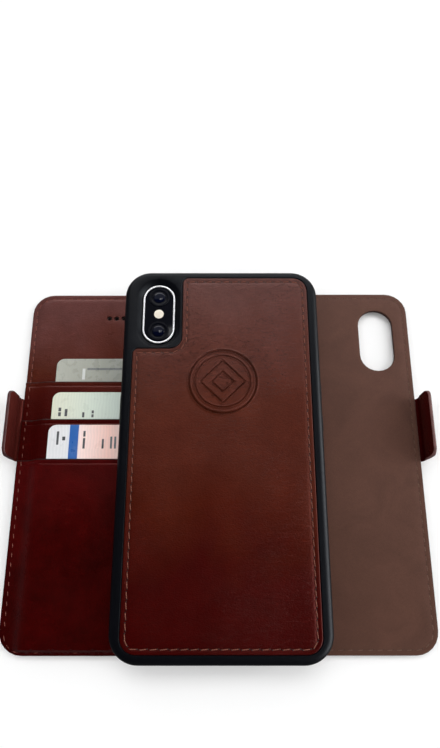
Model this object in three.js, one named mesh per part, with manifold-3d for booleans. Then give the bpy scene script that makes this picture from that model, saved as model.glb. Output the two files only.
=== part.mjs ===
// Folding phone wallet case: a folio of two leather covers and a spine, lying open with its
// inside up, and a detachable bumper shell with a phone in it, lying back up over the spine.
// Millimetres. +X points from the front cover (left) to the back cover (right), +Y to the top
// edge of the covers, +Z up. The origin is under the middle of the whole part.
import * as THREE from 'three';
import { mergeVertices } from 'three/addons/utils/BufferGeometryUtils.js';
import Module from 'manifold-3d';

const wasm = await Module();
wasm.setup();

// Driving dimensions of the folio, measured from its middle. The spine lies a little to the right
// of it, so the closed front cover reaches past the back one and its tab lies outside the back tab.
const FOLIO_WIDTH = 162.4;
const FOLIO_HEIGHT = 150;
const COVER_RADIUS = 9;
const HINGE_SPACING = 18.8;
const SPINE_X = 1.15;
const SKIN_GAP = 0.15;
const STACK_SETBACK = 2.2;
const SPINE_SETBACK = 1.2;
const LINING_INSET = 0.6;

// Leather, board and foil thicknesses.
const SKIN = 0.8;
const BACK_BOARD = 1.25;
const BACK_LINING = 0.65;
const SPINE_BOARD = 0.6;
const SPINE_LINING = 0.6;
const FRONT_BOARD = 0.6;
const FOIL = 0.15;
const FRONT_LINING = 0.55;

// Camera window through the back cover, wider outside than inside so that it doesn't shade the
// flash, and the row of earpiece holes in the front cover.
const WINDOW = { x: 67.2, y: 52.7, width: 14.6, height: 28.4, skinGap: 1.4, boardGap: 2.0 };
const EARPIECE = { x: -43.05, y: 63.5, count: 4, pitch: 3.1, diameter: 1.9 };
const STRAIGHT = 0.01;

// Magnets that hold the shell, set into the board of the back cover.
const COVER_MAGNET = { x: 41, width: 40, height: 16, corner: 1, play: 0.3, rows: [18, -38] };

// Card pockets on the front cover: the top edge of each pocket front, and its cards.
const POCKET_TOPS = [33.2, 16.1, -1.0];
const POCKET_LEATHER = 0.45;
const POCKET_FORE = { sewn: 4, raised: 11 };
const POCKET_ROOT = { sewn: 0.6, raised: 2.4 };
const POCKET_FOOT = { sewn: 0.8, raised: 1.9 };
const CARD = { width: 54, height: 85.6, thickness: 0.76, radius: 3.2, x: -41.5 };
const CARD_TOPS = [43.8, 28.0, 13.3];
const CARD_PLAY = 0.05;

// Magnetic clasp tabs on the two fore edges: their outer faces stand this far from the middle.
const TAB = { face: 83.3, y: 12.5, length: 27, radius: 3, top: 12.2, leather: 0.5, magnet: 0.8 };
const TAB_CREASE = { height: 0.85, foot: 0.3, neck: 4.5 };
const TAB_MAGNET_INSET = 2.5;

// Bumper shell, in its own frame: back face up, z = 0 at the lip round the screen.
const SHELL = { width: 77, height: 150.6, depth: 11.6, radius: 10.5, x: 0.7, y: -0.7, z: 6.4 };
const SHELL_BEVEL = { size: 1.7, height: 2.8 };
const PHONE = { width: 70.9, height: 143.6, depth: 7.7, radius: 9.5, z: 1.4, play: 0.3, lift: 0.1 };
const PHONE_GLASS = { thickness: 0.6, inset: 0.8 };
const LIP = 1.3;
const BACK_PANEL = { width: 68.1, height: 142.8, radius: 5.5, thickness: 1.0, gap: 0.1 };
const NOTCH = { right: -15.1, bottom: 40.4, radius: 5, end: 2 };
const STEEL = { width: 44, thickness: 0.4, height: 24, corner: 2, play: 0.3, rows: [12, -44], x: 2 };

// Camera of the phone, its opening in the shell, and the lenses in it.
const CAMERA = { x: -24.6, y: 56, width: 12.8, height: 25.8, rise: 1.5, ring: 0.9 };
const CAMERA_GLASS = { play: 0.05, drop: 0.3 };
const CAMERA_OPENING = { width: 15.6, height: 28.6, depth: 1 };
const LENS = { radius: 4.1, offset: 7.4, rise: 0.25 };
const FLASH = { radius: 1.9, rise: 0.2 };

// Side buttons of the shell and the cut-outs in its rim.
const BUTTON_STANDS_OUT = 0.7;
const BUTTON_HEIGHT = 3.6;
const BUTTON_GAP = 0.3;
const BUTTON_ROUNDING = 0.2;
const BUTTON_PLAY = 0.1;
const BUTTON_MIDDLE = 5.4;
const BUTTONS = [
  { name: 'power_button_cover', side: -1, y: 17.6, length: 13.4 },
  { name: 'volume_up_button_cover', side: 1, y: 24.5, length: 9.6 },
  { name: 'volume_down_button_cover', side: 1, y: 11.5, length: 9.6 },
];
const MUTE_SLOT = { y: 39, length: 9, height: 4.4 };
const PORT = { width: 13.5, height: 5 };
const SPEAKER_SLOT = { x: 17, width: 10.5, height: 3 };

const HALF_WIDTH = FOLIO_WIDTH / 2;
const HALF_HEIGHT = FOLIO_HEIGHT / 2;
const HINGE = HINGE_SPACING / 2;
const ARC_STEPS = 8;
const HOLE_STEPS = 6;
const CARD_STEPS = 5;
const BEVEL_STEPS = 4;
const FEW_STEPS = 3;
const DISC_SIDES = 24;
const TAB_THICKNESS = 2 * TAB.leather + TAB.magnet;
const CUT = 2;
const WALL = 1;

const REDDISH_LEATHER = { color: 0x5a3024, roughness: 0.35 };
const DARK_RED_LEATHER = { color: 0x4c0a08, roughness: 0.4 };
const BROWN_SUEDE = { color: 0x5c463c, roughness: 0.95 };
const OUTER_LEATHER = { color: 0x5b2219, roughness: 0.5 };
const SHELL_LEATHER = { color: 0x5a2a1e, roughness: 0.5 };
const BLACK_RUBBER = { color: 0x101010, roughness: 0.55 };
const GREY_BOARD = { color: 0x77706a, roughness: 0.9 };
const BRIGHT_FOIL = { color: 0xb9babd, roughness: 0.35, metalness: 1 };
const STEEL_PLATE = { color: 0x9a9b9e, roughness: 0.4, metalness: 1 };
const MAGNET_METAL = { color: 0xa8a9ad, roughness: 0.3, metalness: 1 };
const BLACK_GLASS = { color: 0x08080a, roughness: 0.08 };
const PHONE_METAL = { color: 0x9b9da1, roughness: 0.25, metalness: 1 };
const CARD_LOOKS = [
  { color: 0xb8babd, roughness: 0.4 },
  { color: 0xd9dcc8, roughness: 0.45 },
  { color: 0xe9e6ea, roughness: 0.45 },
];

const part = new THREE.Group();
part.position.y = (SHELL.height / 2 - SHELL.y - HALF_HEIGHT) / 2;

/** Adds one named solid to a group. */
function add(group, name, geometry, look) {
  const material = new THREE.MeshStandardMaterial({ metalness: 0, ...look });
  const mesh = new THREE.Mesh(geometry, material);
  mesh.name = name;
  group.add(mesh);
  return mesh;
}

/** An outline with a radius of its own at each corner: right top, left top, left bottom, right bottom. */
function outline(left, right, bottom, top, radii) {
  const [rightTop, leftTop, leftBottom, rightBottom] = radii;
  const shape = new THREE.Shape();
  corner(shape, right - rightTop, top - rightTop, rightTop, 0);
  corner(shape, left + leftTop, top - leftTop, leftTop, 1);
  corner(shape, left + leftBottom, bottom + leftBottom, leftBottom, 2);
  corner(shape, right - rightBottom, bottom + rightBottom, rightBottom, 3);
  shape.closePath();
  return shape;
}

/** Adds the quarter turn of one corner to an outline, or its point where the radius is zero. */
function corner(shape, x, y, radius, quarter) {
  const start = quarter * Math.PI / 2;
  const first = [x + radius * Math.cos(start), y + radius * Math.sin(start)];
  if (quarter === 0) {
    shape.moveTo(...first);
  } else {
    shape.lineTo(...first);
  }
  if (radius > 0) {
    shape.absarc(x, y, radius, start, start + Math.PI / 2, false);
  }
}

/** A rounded rectangle about a centre. */
function roundedRectangle(x, y, width, height, radius) {
  const radii = [radius, radius, radius, radius];
  return outline(x - width / 2, x + width / 2, y - height / 2, y + height / 2, radii);
}

/** An upright pill about a centre; STRAIGHT keeps a short flat between its two quarter turns. */
function pill(x, y, width, height) {
  return roundedRectangle(x, y, width, height, width / 2 - STRAIGHT);
}

/** A flat plate of one outline, from one height to another. */
function plate(shape, bottom, top, steps = ARC_STEPS) {
  const settings = { depth: top - bottom, bevelEnabled: false, curveSegments: steps };
  return new THREE.ExtrudeGeometry(shape, settings).translate(0, 0, bottom);
}

/** A plate lying across X: its outline is drawn in Y and Z, and it runs from one X to another. */
function uprightPlate(shape, left, right) {
  const geometry = plate(shape, left, right);
  return geometry.applyMatrix4(new THREE.Matrix4().makeBasis(
    new THREE.Vector3(0, 1, 0), new THREE.Vector3(0, 0, 1), new THREE.Vector3(1, 0, 0)));
}

/** A box between two corners. */
function block(left, right, front, back, bottom, top) {
  const geometry = new THREE.BoxGeometry(right - left, back - front, top - bottom);
  return geometry.translate((left + right) / 2, (front + back) / 2, (bottom + top) / 2);
}

/** A solid that manifold-3d can cut and join. */
function solid(geometry) {
  const bare = geometry.index ? geometry.clone() : geometry;
  bare.deleteAttribute('normal');
  bare.deleteAttribute('uv');
  const merged = mergeVertices(bare, 1e-4);
  const vertProperties = new Float32Array(merged.attributes.position.array);
  const triVerts = new Uint32Array(merged.index.array);
  return new wasm.Manifold(new wasm.Mesh({ numProp: 3, vertProperties, triVerts }));
}

/** The finished geometry of a cut or joined solid. */
function geometryOf(manifold) {
  const mesh = manifold.getMesh();
  const geometry = new THREE.BufferGeometry();
  geometry.setAttribute('position', new THREE.BufferAttribute(mesh.vertProperties, 3));
  geometry.setIndex(new THREE.BufferAttribute(mesh.triVerts, 1));
  geometry.computeVertexNormals();
  return geometry;
}

/** One geometry with others taken out of it. */
function cut(geometry, ...tools) {
  const start = solid(geometry);
  return geometryOf(tools.reduce((rest, tool) => rest.subtract(solid(tool)), start));
}

/** The outline of a cover layer on the left (-1) or right (1), inset from the fore edge. */
function coverOutline(side, setback, inset) {
  const radius = COVER_RADIUS - inset;
  const near = HINGE + setback + side * SPINE_X;
  const far = HALF_WIDTH - inset;
  const top = HALF_HEIGHT - inset;
  if (side > 0) {
    return outline(near, far, -top, top, [radius, 0, 0, radius]);
  }
  return outline(-far, -near, -top, top, [0, radius, radius, 0]);
}

/** The pill-shaped camera window, as a hole in a layer of the back cover. */
function windowHole(extra) {
  return pill(WINDOW.x, WINDOW.y, WINDOW.width + 2 * extra, WINDOW.height + 2 * extra);
}

/** The tongue of outer skin that carries a clasp tab past the fore edge. */
function withTongue(skin, side) {
  const ends = [side * TAB.face, side * (HALF_WIDTH - CUT)];
  const low = TAB.y - TAB.length / 2;
  const tongue = block(Math.min(...ends), Math.max(...ends), low, low + TAB.length, 0, SKIN);
  return geometryOf(solid(skin).add(solid(tongue)));
}

/** Back cover: skin, board with two magnets set into it, and a suede lining, all with the window. */
function addBackCover() {
  const skin = coverOutline(1, SKIN_GAP, 0);
  skin.holes.push(windowHole(WINDOW.skinGap));
  add(part, 'back_outer_skin', withTongue(plate(skin, 0, SKIN), 1), OUTER_LEATHER);
  const board = coverOutline(1, STACK_SETBACK, 2 * LINING_INSET);
  board.holes.push(windowHole(WINDOW.boardGap));
  const boardTop = SKIN + BACK_BOARD;
  const { play, corner: round } = COVER_MAGNET;
  ['upper', 'lower'].forEach((place, row) => {
    const y = COVER_MAGNET.rows[row];
    const { x, width, height } = COVER_MAGNET;
    board.holes.push(roundedRectangle(x, y, width, height, round));
    const magnet = roundedRectangle(x, y, width - 2 * play, height - 2 * play, round - play);
    add(part, `back_magnet_${place}`, plate(magnet, SKIN, boardTop, FEW_STEPS), MAGNET_METAL);
  });
  add(part, 'back_board', plate(board, SKIN, boardTop), GREY_BOARD);
  const lining = coverOutline(1, STACK_SETBACK, LINING_INSET);
  lining.holes.push(windowHole(0));
  add(part, 'back_lining', plate(lining, boardTop, boardTop + BACK_LINING), BROWN_SUEDE);
}

/** Spine: skin, stiffener and lining between the two hinge creases. */
function addSpine() {
  const sharp = [0, 0, 0, 0];
  const skinEdge = HINGE - SKIN_GAP;
  const skin = outline(SPINE_X - skinEdge, SPINE_X + skinEdge, -HALF_HEIGHT, HALF_HEIGHT, sharp);
  add(part, 'spine_outer_skin', plate(skin, 0, SKIN), OUTER_LEATHER);
  const edge = HINGE - SPINE_SETBACK;
  const boardTop = SKIN + SPINE_BOARD;
  const boardEnd = HALF_HEIGHT - 2 * LINING_INSET;
  const board = outline(SPINE_X - edge, SPINE_X + edge, -boardEnd, boardEnd, sharp);
  add(part, 'spine_board', plate(board, SKIN, boardTop), GREY_BOARD);
  const liningEnd = HALF_HEIGHT - LINING_INSET;
  const lining = outline(SPINE_X - edge, SPINE_X + edge, -liningEnd, liningEnd, sharp);
  add(part, 'spine_lining', plate(lining, boardTop, boardTop + SPINE_LINING), BROWN_SUEDE);
}

/** The row of earpiece holes, punched through one layer of the front cover. */
function punchEarpiece(shape) {
  for (let hole = 0; hole < EARPIECE.count; hole += 1) {
    const x = EARPIECE.x + (hole - (EARPIECE.count - 1) / 2) * EARPIECE.pitch;
    const circle = new THREE.Path();
    circle.absarc(x, EARPIECE.y, EARPIECE.diameter / 2, 0, 2 * Math.PI, true);
    shape.holes.push(circle);
  }
  return shape;
}

/** Front cover: skin, board, card-shielding foil and glossy lining, all with the earpiece holes. */
function addFrontCover() {
  const skin = punchEarpiece(coverOutline(-1, SKIN_GAP, 0));
  add(part, 'front_outer_skin', withTongue(plate(skin, 0, SKIN, HOLE_STEPS), -1), OUTER_LEATHER);
  const boardTop = SKIN + FRONT_BOARD;
  const board = punchEarpiece(coverOutline(-1, STACK_SETBACK, 2 * LINING_INSET));
  add(part, 'front_board', plate(board, SKIN, boardTop, HOLE_STEPS), GREY_BOARD);
  const foilTop = boardTop + FOIL;
  const foil = punchEarpiece(coverOutline(-1, 2 * STACK_SETBACK, 4 * LINING_INSET));
  add(part, 'front_shielding_foil', plate(foil, boardTop, foilTop, HOLE_STEPS), BRIGHT_FOIL);
  const lining = punchEarpiece(coverOutline(-1, STACK_SETBACK, LINING_INSET));
  add(part, 'front_lining', plate(lining, foilTop, foilTop + FRONT_LINING, HOLE_STEPS), REDDISH_LEATHER);
}

/** Height of the stack under card pocket `index` at its sewn margin. */
function marginHeight(index) {
  return SKIN + FRONT_BOARD + FOIL + FRONT_LINING + index * POCKET_LEATHER;
}

/** Height of the underside of pocket front `index` where it runs over its card. */
function overCardHeight(index) {
  const base = marginHeight(0);
  const card = CARD.thickness + 2 * CARD_PLAY;
  return base + index * POCKET_LEATHER + (index + 1) * card;
}

/** Height at which card `index` lies. */
function cardHeight(index) {
  return overCardHeight(index) - CARD.thickness - CARD_PLAY;
}

/** The space under a pocket front's top or underside: low at its sewn margin, lifted over the card. */
function underSheet(index, thickness, reach) {
  const fore = -HALF_WIDTH + LINING_INSET;
  const root = SPINE_X - HINGE - STACK_SETBACK;
  const foot = -HALF_HEIGHT + LINING_INSET;
  const columns = [
    fore - reach, fore + POCKET_FORE.sewn, fore + POCKET_FORE.raised,
    root - POCKET_ROOT.raised, root - POCKET_ROOT.sewn, root + reach,
  ];
  const sewnTo = foot + POCKET_FOOT.sewn;
  const raisedFrom = foot + POCKET_FOOT.raised;
  const rows = [foot - reach, sewnTo, raisedFrom, POCKET_TOPS[index] + reach];
  const raisedColumns = [0, 0, 1, 1, 0, 0];
  const raisedRows = [0, 0, 1, 1];
  const space = new THREE.BoxGeometry(1, 1, 1, columns.length - 1, rows.length - 1, 1);
  const position = space.attributes.position;
  for (let vertex = 0; vertex < position.count; vertex += 1) {
    const column = Math.round((position.getX(vertex) + 0.5) * (columns.length - 1));
    const row = Math.round((position.getY(vertex) + 0.5) * (rows.length - 1));
    const raised = raisedColumns[column] * raisedRows[row];
    const low = marginHeight(index);
    const height = low + raised * (overCardHeight(index) - low) + thickness;
    position.setXYZ(vertex, columns[column], rows[row], position.getZ(vertex) > 0 ? height : 0);
  }
  return solid(space);
}

/** A pocket front: a leather sheet sewn down at three sides and lifted over its card. */
function pocketFront(index) {
  const sheet = underSheet(index, POCKET_LEATHER, 0).subtract(underSheet(index, 0, CUT));
  const trim = plate(coverOutline(-1, STACK_SETBACK, LINING_INSET), 0, HALF_HEIGHT);
  return geometryOf(sheet.intersect(solid(trim)));
}

/** The three stepped card pockets and the card in each. */
function addPocketsAndCards() {
  POCKET_TOPS.forEach((top, index) => {
    const number = index + 1;
    add(part, `card_pocket_${number}`, pocketFront(index), index < 2 ? REDDISH_LEATHER : DARK_RED_LEATHER);
    const shape = roundedRectangle(0, -CARD.height / 2, CARD.width, CARD.height, CARD.radius);
    const sheet = plate(shape, 0, CARD.thickness, CARD_STEPS);
    const card = add(part, `card_${number}`, sheet, CARD_LOOKS[index]);
    card.position.set(CARD.x, CARD_TOPS[index], cardHeight(index));
  });
}

/** The outline of a clasp tab seen from the side, rounded at its free edge. */
function tabOutline(bottom, inset) {
  const half = TAB.length / 2 - inset;
  const radius = TAB.radius - inset;
  return outline(TAB.y - half, TAB.y + half, bottom, TAB.top - inset, [radius, radius, 0, 0]);
}

/** A clasp tab standing up from a fore edge: outer leather, magnet and inner leather. */
function addTab(prefix, side) {
  const faces = [0, TAB.leather, TAB.leather + TAB.magnet, TAB_THICKNESS];
  const low = TAB_CREASE.height + TAB_CREASE.foot;
  const thickLow = TAB_CREASE.height + TAB_CREASE.neck;
  const layers = [
    { name: 'outer_leather', bottom: low, inset: 0, look: OUTER_LEATHER },
    { name: 'magnet', bottom: thickLow + TAB_MAGNET_INSET / 2, inset: TAB_MAGNET_INSET, look: MAGNET_METAL },
    { name: 'inner_leather', bottom: thickLow, inset: 0, look: DARK_RED_LEATHER },
  ];
  layers.forEach((layer, index) => {
    const ends = [side * (TAB.face - faces[index]), side * (TAB.face - faces[index + 1])];
    const shape = tabOutline(layer.bottom, layer.inset);
    const geometry = uprightPlate(shape, Math.min(...ends), Math.max(...ends));
    add(part, `${prefix}_tab_${layer.name}`, geometry, layer.look);
  });
}

/** The outline of the shell's leather panel, with the corner left free for the camera. */
function panelOutline(grow) {
  const right = BACK_PANEL.width / 2 + grow;
  const top = BACK_PANEL.height / 2 + grow;
  const radius = BACK_PANEL.radius + grow;
  const notchRight = NOTCH.right - grow;
  const notchBottom = NOTCH.bottom + grow;
  const small = NOTCH.end;
  const shape = new THREE.Shape();
  shape.moveTo(right, top - radius);
  shape.absarc(right - radius, top - radius, radius, 0, Math.PI / 2, false);
  shape.lineTo(notchRight + small, top);
  shape.absarc(notchRight + small, top - small, small, Math.PI / 2, Math.PI, false);
  shape.lineTo(notchRight, notchBottom + NOTCH.radius);
  shape.absarc(notchRight - NOTCH.radius, notchBottom + NOTCH.radius, NOTCH.radius, 0, -Math.PI / 2, true);
  shape.lineTo(-right + small, notchBottom);
  shape.absarc(-right + small, notchBottom - small, small, Math.PI / 2, Math.PI, false);
  shape.lineTo(-right, -top + radius);
  shape.absarc(-right + radius, -top + radius, radius, Math.PI, 1.5 * Math.PI, false);
  shape.lineTo(right - radius, -top);
  shape.absarc(right - radius, -top + radius, radius, 1.5 * Math.PI, 2 * Math.PI, false);
  shape.closePath();
  return shape;
}

/** The rubber body of the shell before anything is cut out of it. */
function shellBlank() {
  const width = SHELL.width - 2 * SHELL_BEVEL.size;
  const height = SHELL.height - 2 * SHELL_BEVEL.size;
  const shape = roundedRectangle(0, 0, width, height, SHELL.radius - SHELL_BEVEL.size);
  const settings = {
    depth: SHELL.depth - 2 * SHELL_BEVEL.height,
    bevelEnabled: true,
    bevelThickness: SHELL_BEVEL.height,
    bevelSize: SHELL_BEVEL.size,
    bevelSegments: BEVEL_STEPS,
    curveSegments: ARC_STEPS,
  };
  return new THREE.ExtrudeGeometry(shape, settings).translate(0, 0, SHELL_BEVEL.height);
}

/** A block through the side wall of the shell, at X = +-half width. */
function sideWindow(side, y, length, height) {
  const inner = PHONE.width / 2 - WALL;
  const outer = SHELL.width / 2 + CUT;
  const ends = [side * inner, side * outer];
  const half = length / 2;
  const low = BUTTON_MIDDLE - height / 2;
  return block(Math.min(...ends), Math.max(...ends), y - half, y + half, low, low + height);
}

/** Everything that is cut out of the shell: phone space, screen, camera, panel bed and slots. */
function shellCuts() {
  const pocketWidth = PHONE.width + 2 * PHONE.play;
  const pocketHeight = PHONE.height + 2 * PHONE.play;
  const phoneTop = PHONE.z + PHONE.depth;
  const panelBed = SHELL.depth - BACK_PANEL.thickness - BACK_PANEL.gap;
  const camera = pill(CAMERA.x, CAMERA.y, CAMERA_OPENING.width, CAMERA_OPENING.height);
  const phoneSpace = roundedRectangle(0, 0, pocketWidth, pocketHeight, PHONE.radius + PHONE.play);
  const screen = roundedRectangle(0, 0, PHONE.width - 2 * LIP, PHONE.height - 2 * LIP, PHONE.radius - LIP);
  const bottomEdge = -SHELL.height / 2 - CUT;
  const portLow = BUTTON_MIDDLE - PORT.height / 2;
  const speakerLow = BUTTON_MIDDLE - SPEAKER_SLOT.height / 2;
  const inside = -PHONE.height / 2 + WALL;
  const cuts = [
    plate(phoneSpace, PHONE.z - PHONE.lift, phoneTop + PHONE.lift),
    plate(screen, -CUT, CUT),
    plate(panelOutline(BACK_PANEL.gap), panelBed, SHELL.depth + CUT),
    plate(camera, phoneTop - CAMERA_OPENING.depth, SHELL.depth + CUT),
    block(-PORT.width / 2, PORT.width / 2, bottomEdge, inside, portLow, portLow + PORT.height),
    sideWindow(1, MUTE_SLOT.y, MUTE_SLOT.length, MUTE_SLOT.height),
  ];
  [-1, 1].forEach((side) => {
    const middle = side * SPEAKER_SLOT.x;
    const half = SPEAKER_SLOT.width / 2;
    const ends = [middle - half, middle + half];
    cuts.push(block(...ends, bottomEdge, inside, speakerLow, speakerLow + SPEAKER_SLOT.height));
  });
  BUTTONS.forEach((button) => {
    const length = button.length + 2 * BUTTON_GAP;
    cuts.push(sideWindow(button.side, button.y, length, BUTTON_HEIGHT + 2 * BUTTON_GAP));
  });
  STEEL.rows.forEach((y) => {
    const width = STEEL.width + 2 * STEEL.play;
    const height = STEEL.height + 2 * STEEL.play;
    const bed = roundedRectangle(STEEL.x, y, width, height, STEEL.corner + STEEL.play);
    cuts.push(plate(bed, panelBed - STEEL.thickness, panelBed + CUT, FEW_STEPS));
  });
  return cuts;
}

/** The shell: rubber bumper, two steel plates, leather panel and the three button covers. */
function addShell() {
  const shell = new THREE.Group();
  shell.position.set(SHELL.x, SHELL.y, SHELL.z);
  part.add(shell);
  add(shell, 'shell_bumper', cut(shellBlank(), ...shellCuts()), BLACK_RUBBER);
  const panelBottom = SHELL.depth - BACK_PANEL.thickness;
  ['upper', 'lower'].forEach((place, row) => {
    const shape = roundedRectangle(STEEL.x, STEEL.rows[row], STEEL.width, STEEL.height, STEEL.corner);
    const top = panelBottom - BACK_PANEL.gap;
    const sheet = plate(shape, top - STEEL.thickness, top, FEW_STEPS);
    add(shell, `shell_steel_plate_${place}`, sheet, STEEL_PLATE);
  });
  add(shell, 'shell_leather_panel', plate(panelOutline(0), panelBottom, SHELL.depth), SHELL_LEATHER);
  BUTTONS.forEach((button) => add(shell, button.name, buttonCover(button), BLACK_RUBBER));
  addPhone(shell);
}

/** A button cover: a rounded pad that fills its window in the rim and stands out from it. */
function buttonCover(button) {
  const half = button.length / 2;
  const low = BUTTON_MIDDLE - BUTTON_HEIGHT / 2;
  const radius = BUTTON_HEIGHT / 2 - BUTTON_ROUNDING;
  const pad = outline(
    button.y - half, button.y + half, low, low + BUTTON_HEIGHT, [radius, radius, radius, radius]);
  const inner = PHONE.width / 2 + 2 * PHONE.play + BUTTON_PLAY;
  const outer = SHELL.width / 2 + BUTTON_STANDS_OUT;
  const ends = [button.side * inner, button.side * outer];
  return uprightPlate(pad, Math.min(...ends), Math.max(...ends));
}

/** The phone in the shell: frame, two glasses, camera ring, camera glass, lenses and flash. */
function addPhone(shell) {
  const body = roundedRectangle(0, 0, PHONE.width, PHONE.height, PHONE.radius);
  const low = PHONE.z + PHONE_GLASS.thickness;
  const high = PHONE.z + PHONE.depth - PHONE_GLASS.thickness;
  const { inset } = PHONE_GLASS;
  const [width, height] = [PHONE.width - 2 * inset, PHONE.height - 2 * inset];
  const glass = roundedRectangle(0, 0, width, height, PHONE.radius - inset);
  const back = PHONE.z + PHONE.depth;
  add(shell, 'phone_frame', plate(body, low, high), PHONE_METAL);
  add(shell, 'phone_screen_glass', plate(glass, PHONE.z, low), BLACK_GLASS);
  add(shell, 'phone_back_glass', plate(glass, high, back), BLACK_GLASS);
  const ring = cameraPill(0);
  ring.holes.push(cameraPill(CAMERA.ring));
  add(shell, 'phone_camera_ring', plate(ring, back, back + CAMERA.rise), PHONE_METAL);
  const coverTop = back + CAMERA.rise - CAMERA_GLASS.drop;
  const cover = plate(cameraPill(CAMERA.ring + CAMERA_GLASS.play), back, coverTop);
  add(shell, 'phone_camera_glass', cover, BLACK_GLASS);
  [['upper', 1], ['lower', -1]].forEach(([place, side]) => {
    addDisc(shell, `phone_lens_${place}`, LENS.radius, side * LENS.offset, coverTop, LENS.rise, BLACK_GLASS);
  });
  const flash = { color: 0xf1e6c8, roughness: 0.3 };
  addDisc(shell, 'phone_flash', FLASH.radius, 0, coverTop, FLASH.rise, flash);
}

/** The camera's pill-shaped outline, made smaller by an inset. */
function cameraPill(inset) {
  return pill(CAMERA.x, CAMERA.y, CAMERA.width - 2 * inset, CAMERA.height - 2 * inset);
}

/** A round disc on the camera glass. */
function addDisc(shell, name, radius, offset, bottom, rise, look) {
  const disc = new THREE.CylinderGeometry(radius, radius, rise, DISC_SIDES);
  disc.rotateX(Math.PI / 2);
  const mesh = add(shell, name, disc, look);
  mesh.position.set(CAMERA.x, CAMERA.y + offset, bottom + rise / 2);
}

addBackCover();
addSpine();
addFrontCover();
addPocketsAndCards();
addTab('front', -1);
addTab('back', 1);
addShell();

export default part;
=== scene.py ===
"""Looks of the folding phone wallet case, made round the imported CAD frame.

Shapes are worked out in millimetres in the CAD's frame and scaled to metres when a mesh is made.
"""
import math

import bmesh
import bpy
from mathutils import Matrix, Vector, noise
from mathutils.geometry import delaunay_2d_cdt


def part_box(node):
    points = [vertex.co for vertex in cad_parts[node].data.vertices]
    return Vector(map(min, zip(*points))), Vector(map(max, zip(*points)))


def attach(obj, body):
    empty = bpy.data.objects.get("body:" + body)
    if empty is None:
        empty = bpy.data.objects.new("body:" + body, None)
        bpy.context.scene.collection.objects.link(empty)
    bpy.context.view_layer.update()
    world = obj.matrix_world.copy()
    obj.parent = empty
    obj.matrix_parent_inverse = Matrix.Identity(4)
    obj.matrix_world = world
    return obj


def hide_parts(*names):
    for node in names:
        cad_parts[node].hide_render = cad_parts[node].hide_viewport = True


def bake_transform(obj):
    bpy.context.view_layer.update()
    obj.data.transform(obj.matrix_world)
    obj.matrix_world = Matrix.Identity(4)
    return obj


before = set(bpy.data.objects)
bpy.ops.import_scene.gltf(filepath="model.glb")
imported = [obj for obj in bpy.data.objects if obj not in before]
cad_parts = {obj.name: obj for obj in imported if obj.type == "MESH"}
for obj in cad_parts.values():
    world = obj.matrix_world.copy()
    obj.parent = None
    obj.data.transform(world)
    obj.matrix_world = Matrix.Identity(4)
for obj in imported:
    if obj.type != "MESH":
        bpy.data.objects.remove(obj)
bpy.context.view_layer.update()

MM = 0.001          # a millimetre in metres
WELD = 0.015        # points closer than this become one
HAIR = 0.01         # a length too small to see
SLIVER = 1e-5       # a triangle with less than half this area is left out
TOUCH = 1e-5        # outlines closer than this are taken as touching
LEAST_BEND = 0.02   # the least corner radius of an outline that is moved inwards
ON_LINE = 0.03      # a point closer to a line than this counts as on it
INNERMOST = 9.0     # the inset given for a point that is far from every edge
HOLE_MARGIN = 0.5   # inner points of a sheet keep this far from its holes
EDGE_STEPS = 4      # facets round the edge of a sheet


def span(node):
    """Lowest and highest corner of a CAD node, in millimetres."""
    low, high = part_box(node)
    return low / MM, high / MM


def smooth(edge0, edge1, value):
    """0 before edge0, 1 after edge1, and a smooth step between them."""
    t = min(max((value - edge0) / (edge1 - edge0), 0.0), 1.0)
    return t * t * (3 - 2 * t)


def dent(distance, width):
    """A rounded dent: 1 in its middle, fading over about its width."""
    return math.exp(-((distance / width) ** 2))


# ---------------------------------------------------------------- places, from the CAD frame
SPINE_LOW, SPINE_HIGH = span("spine_outer_skin")
SPINE_X = (SPINE_LOW.x + SPINE_HIGH.x) / 2
HINGE = (span("back_outer_skin")[0].x + SPINE_HIGH.x) / 2 - SPINE_X
SKIN = SPINE_HIGH.z
LINING_INSET = 0.6
LEFT_EDGE = span("front_lining")[0].x - LINING_INSET
RIGHT_EDGE = span("back_lining")[1].x + LINING_INSET
LOW_EDGE, HIGH_EDGE = SPINE_LOW.y, SPINE_HIGH.y
MIDDLE = (LEFT_EDGE + RIGHT_EDGE) / 2
MIDDLE_Y = (LOW_EDGE + HIGH_EDGE) / 2
BACK_BOARD_TOP = span("back_board")[1].z
BACK_TOP = span("back_lining")[1].z
FRONT_BOARD_TOP = span("front_shielding_foil")[1].z
FRONT_TOP = span("front_lining")[1].z
SPINE_BOARD_TOP = span("spine_board")[1].z
SPINE_TOP = span("spine_lining")[1].z
POCKETS = [span(f"card_pocket_{number}") for number in (1, 2, 3)]
CARDS = [span(f"card_{number}") for number in (1, 2, 3)]
SHELL_LOW, SHELL_HIGH = span("shell_bumper")
PANEL_LOW, PANEL_HIGH = span("shell_leather_panel")
RING_LOW, RING_HIGH = span("phone_camera_ring")
SHELL_X = (PANEL_LOW.x + PANEL_HIGH.x) / 2
SHELL_Y = (SHELL_LOW.y + SHELL_HIGH.y) / 2

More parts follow.
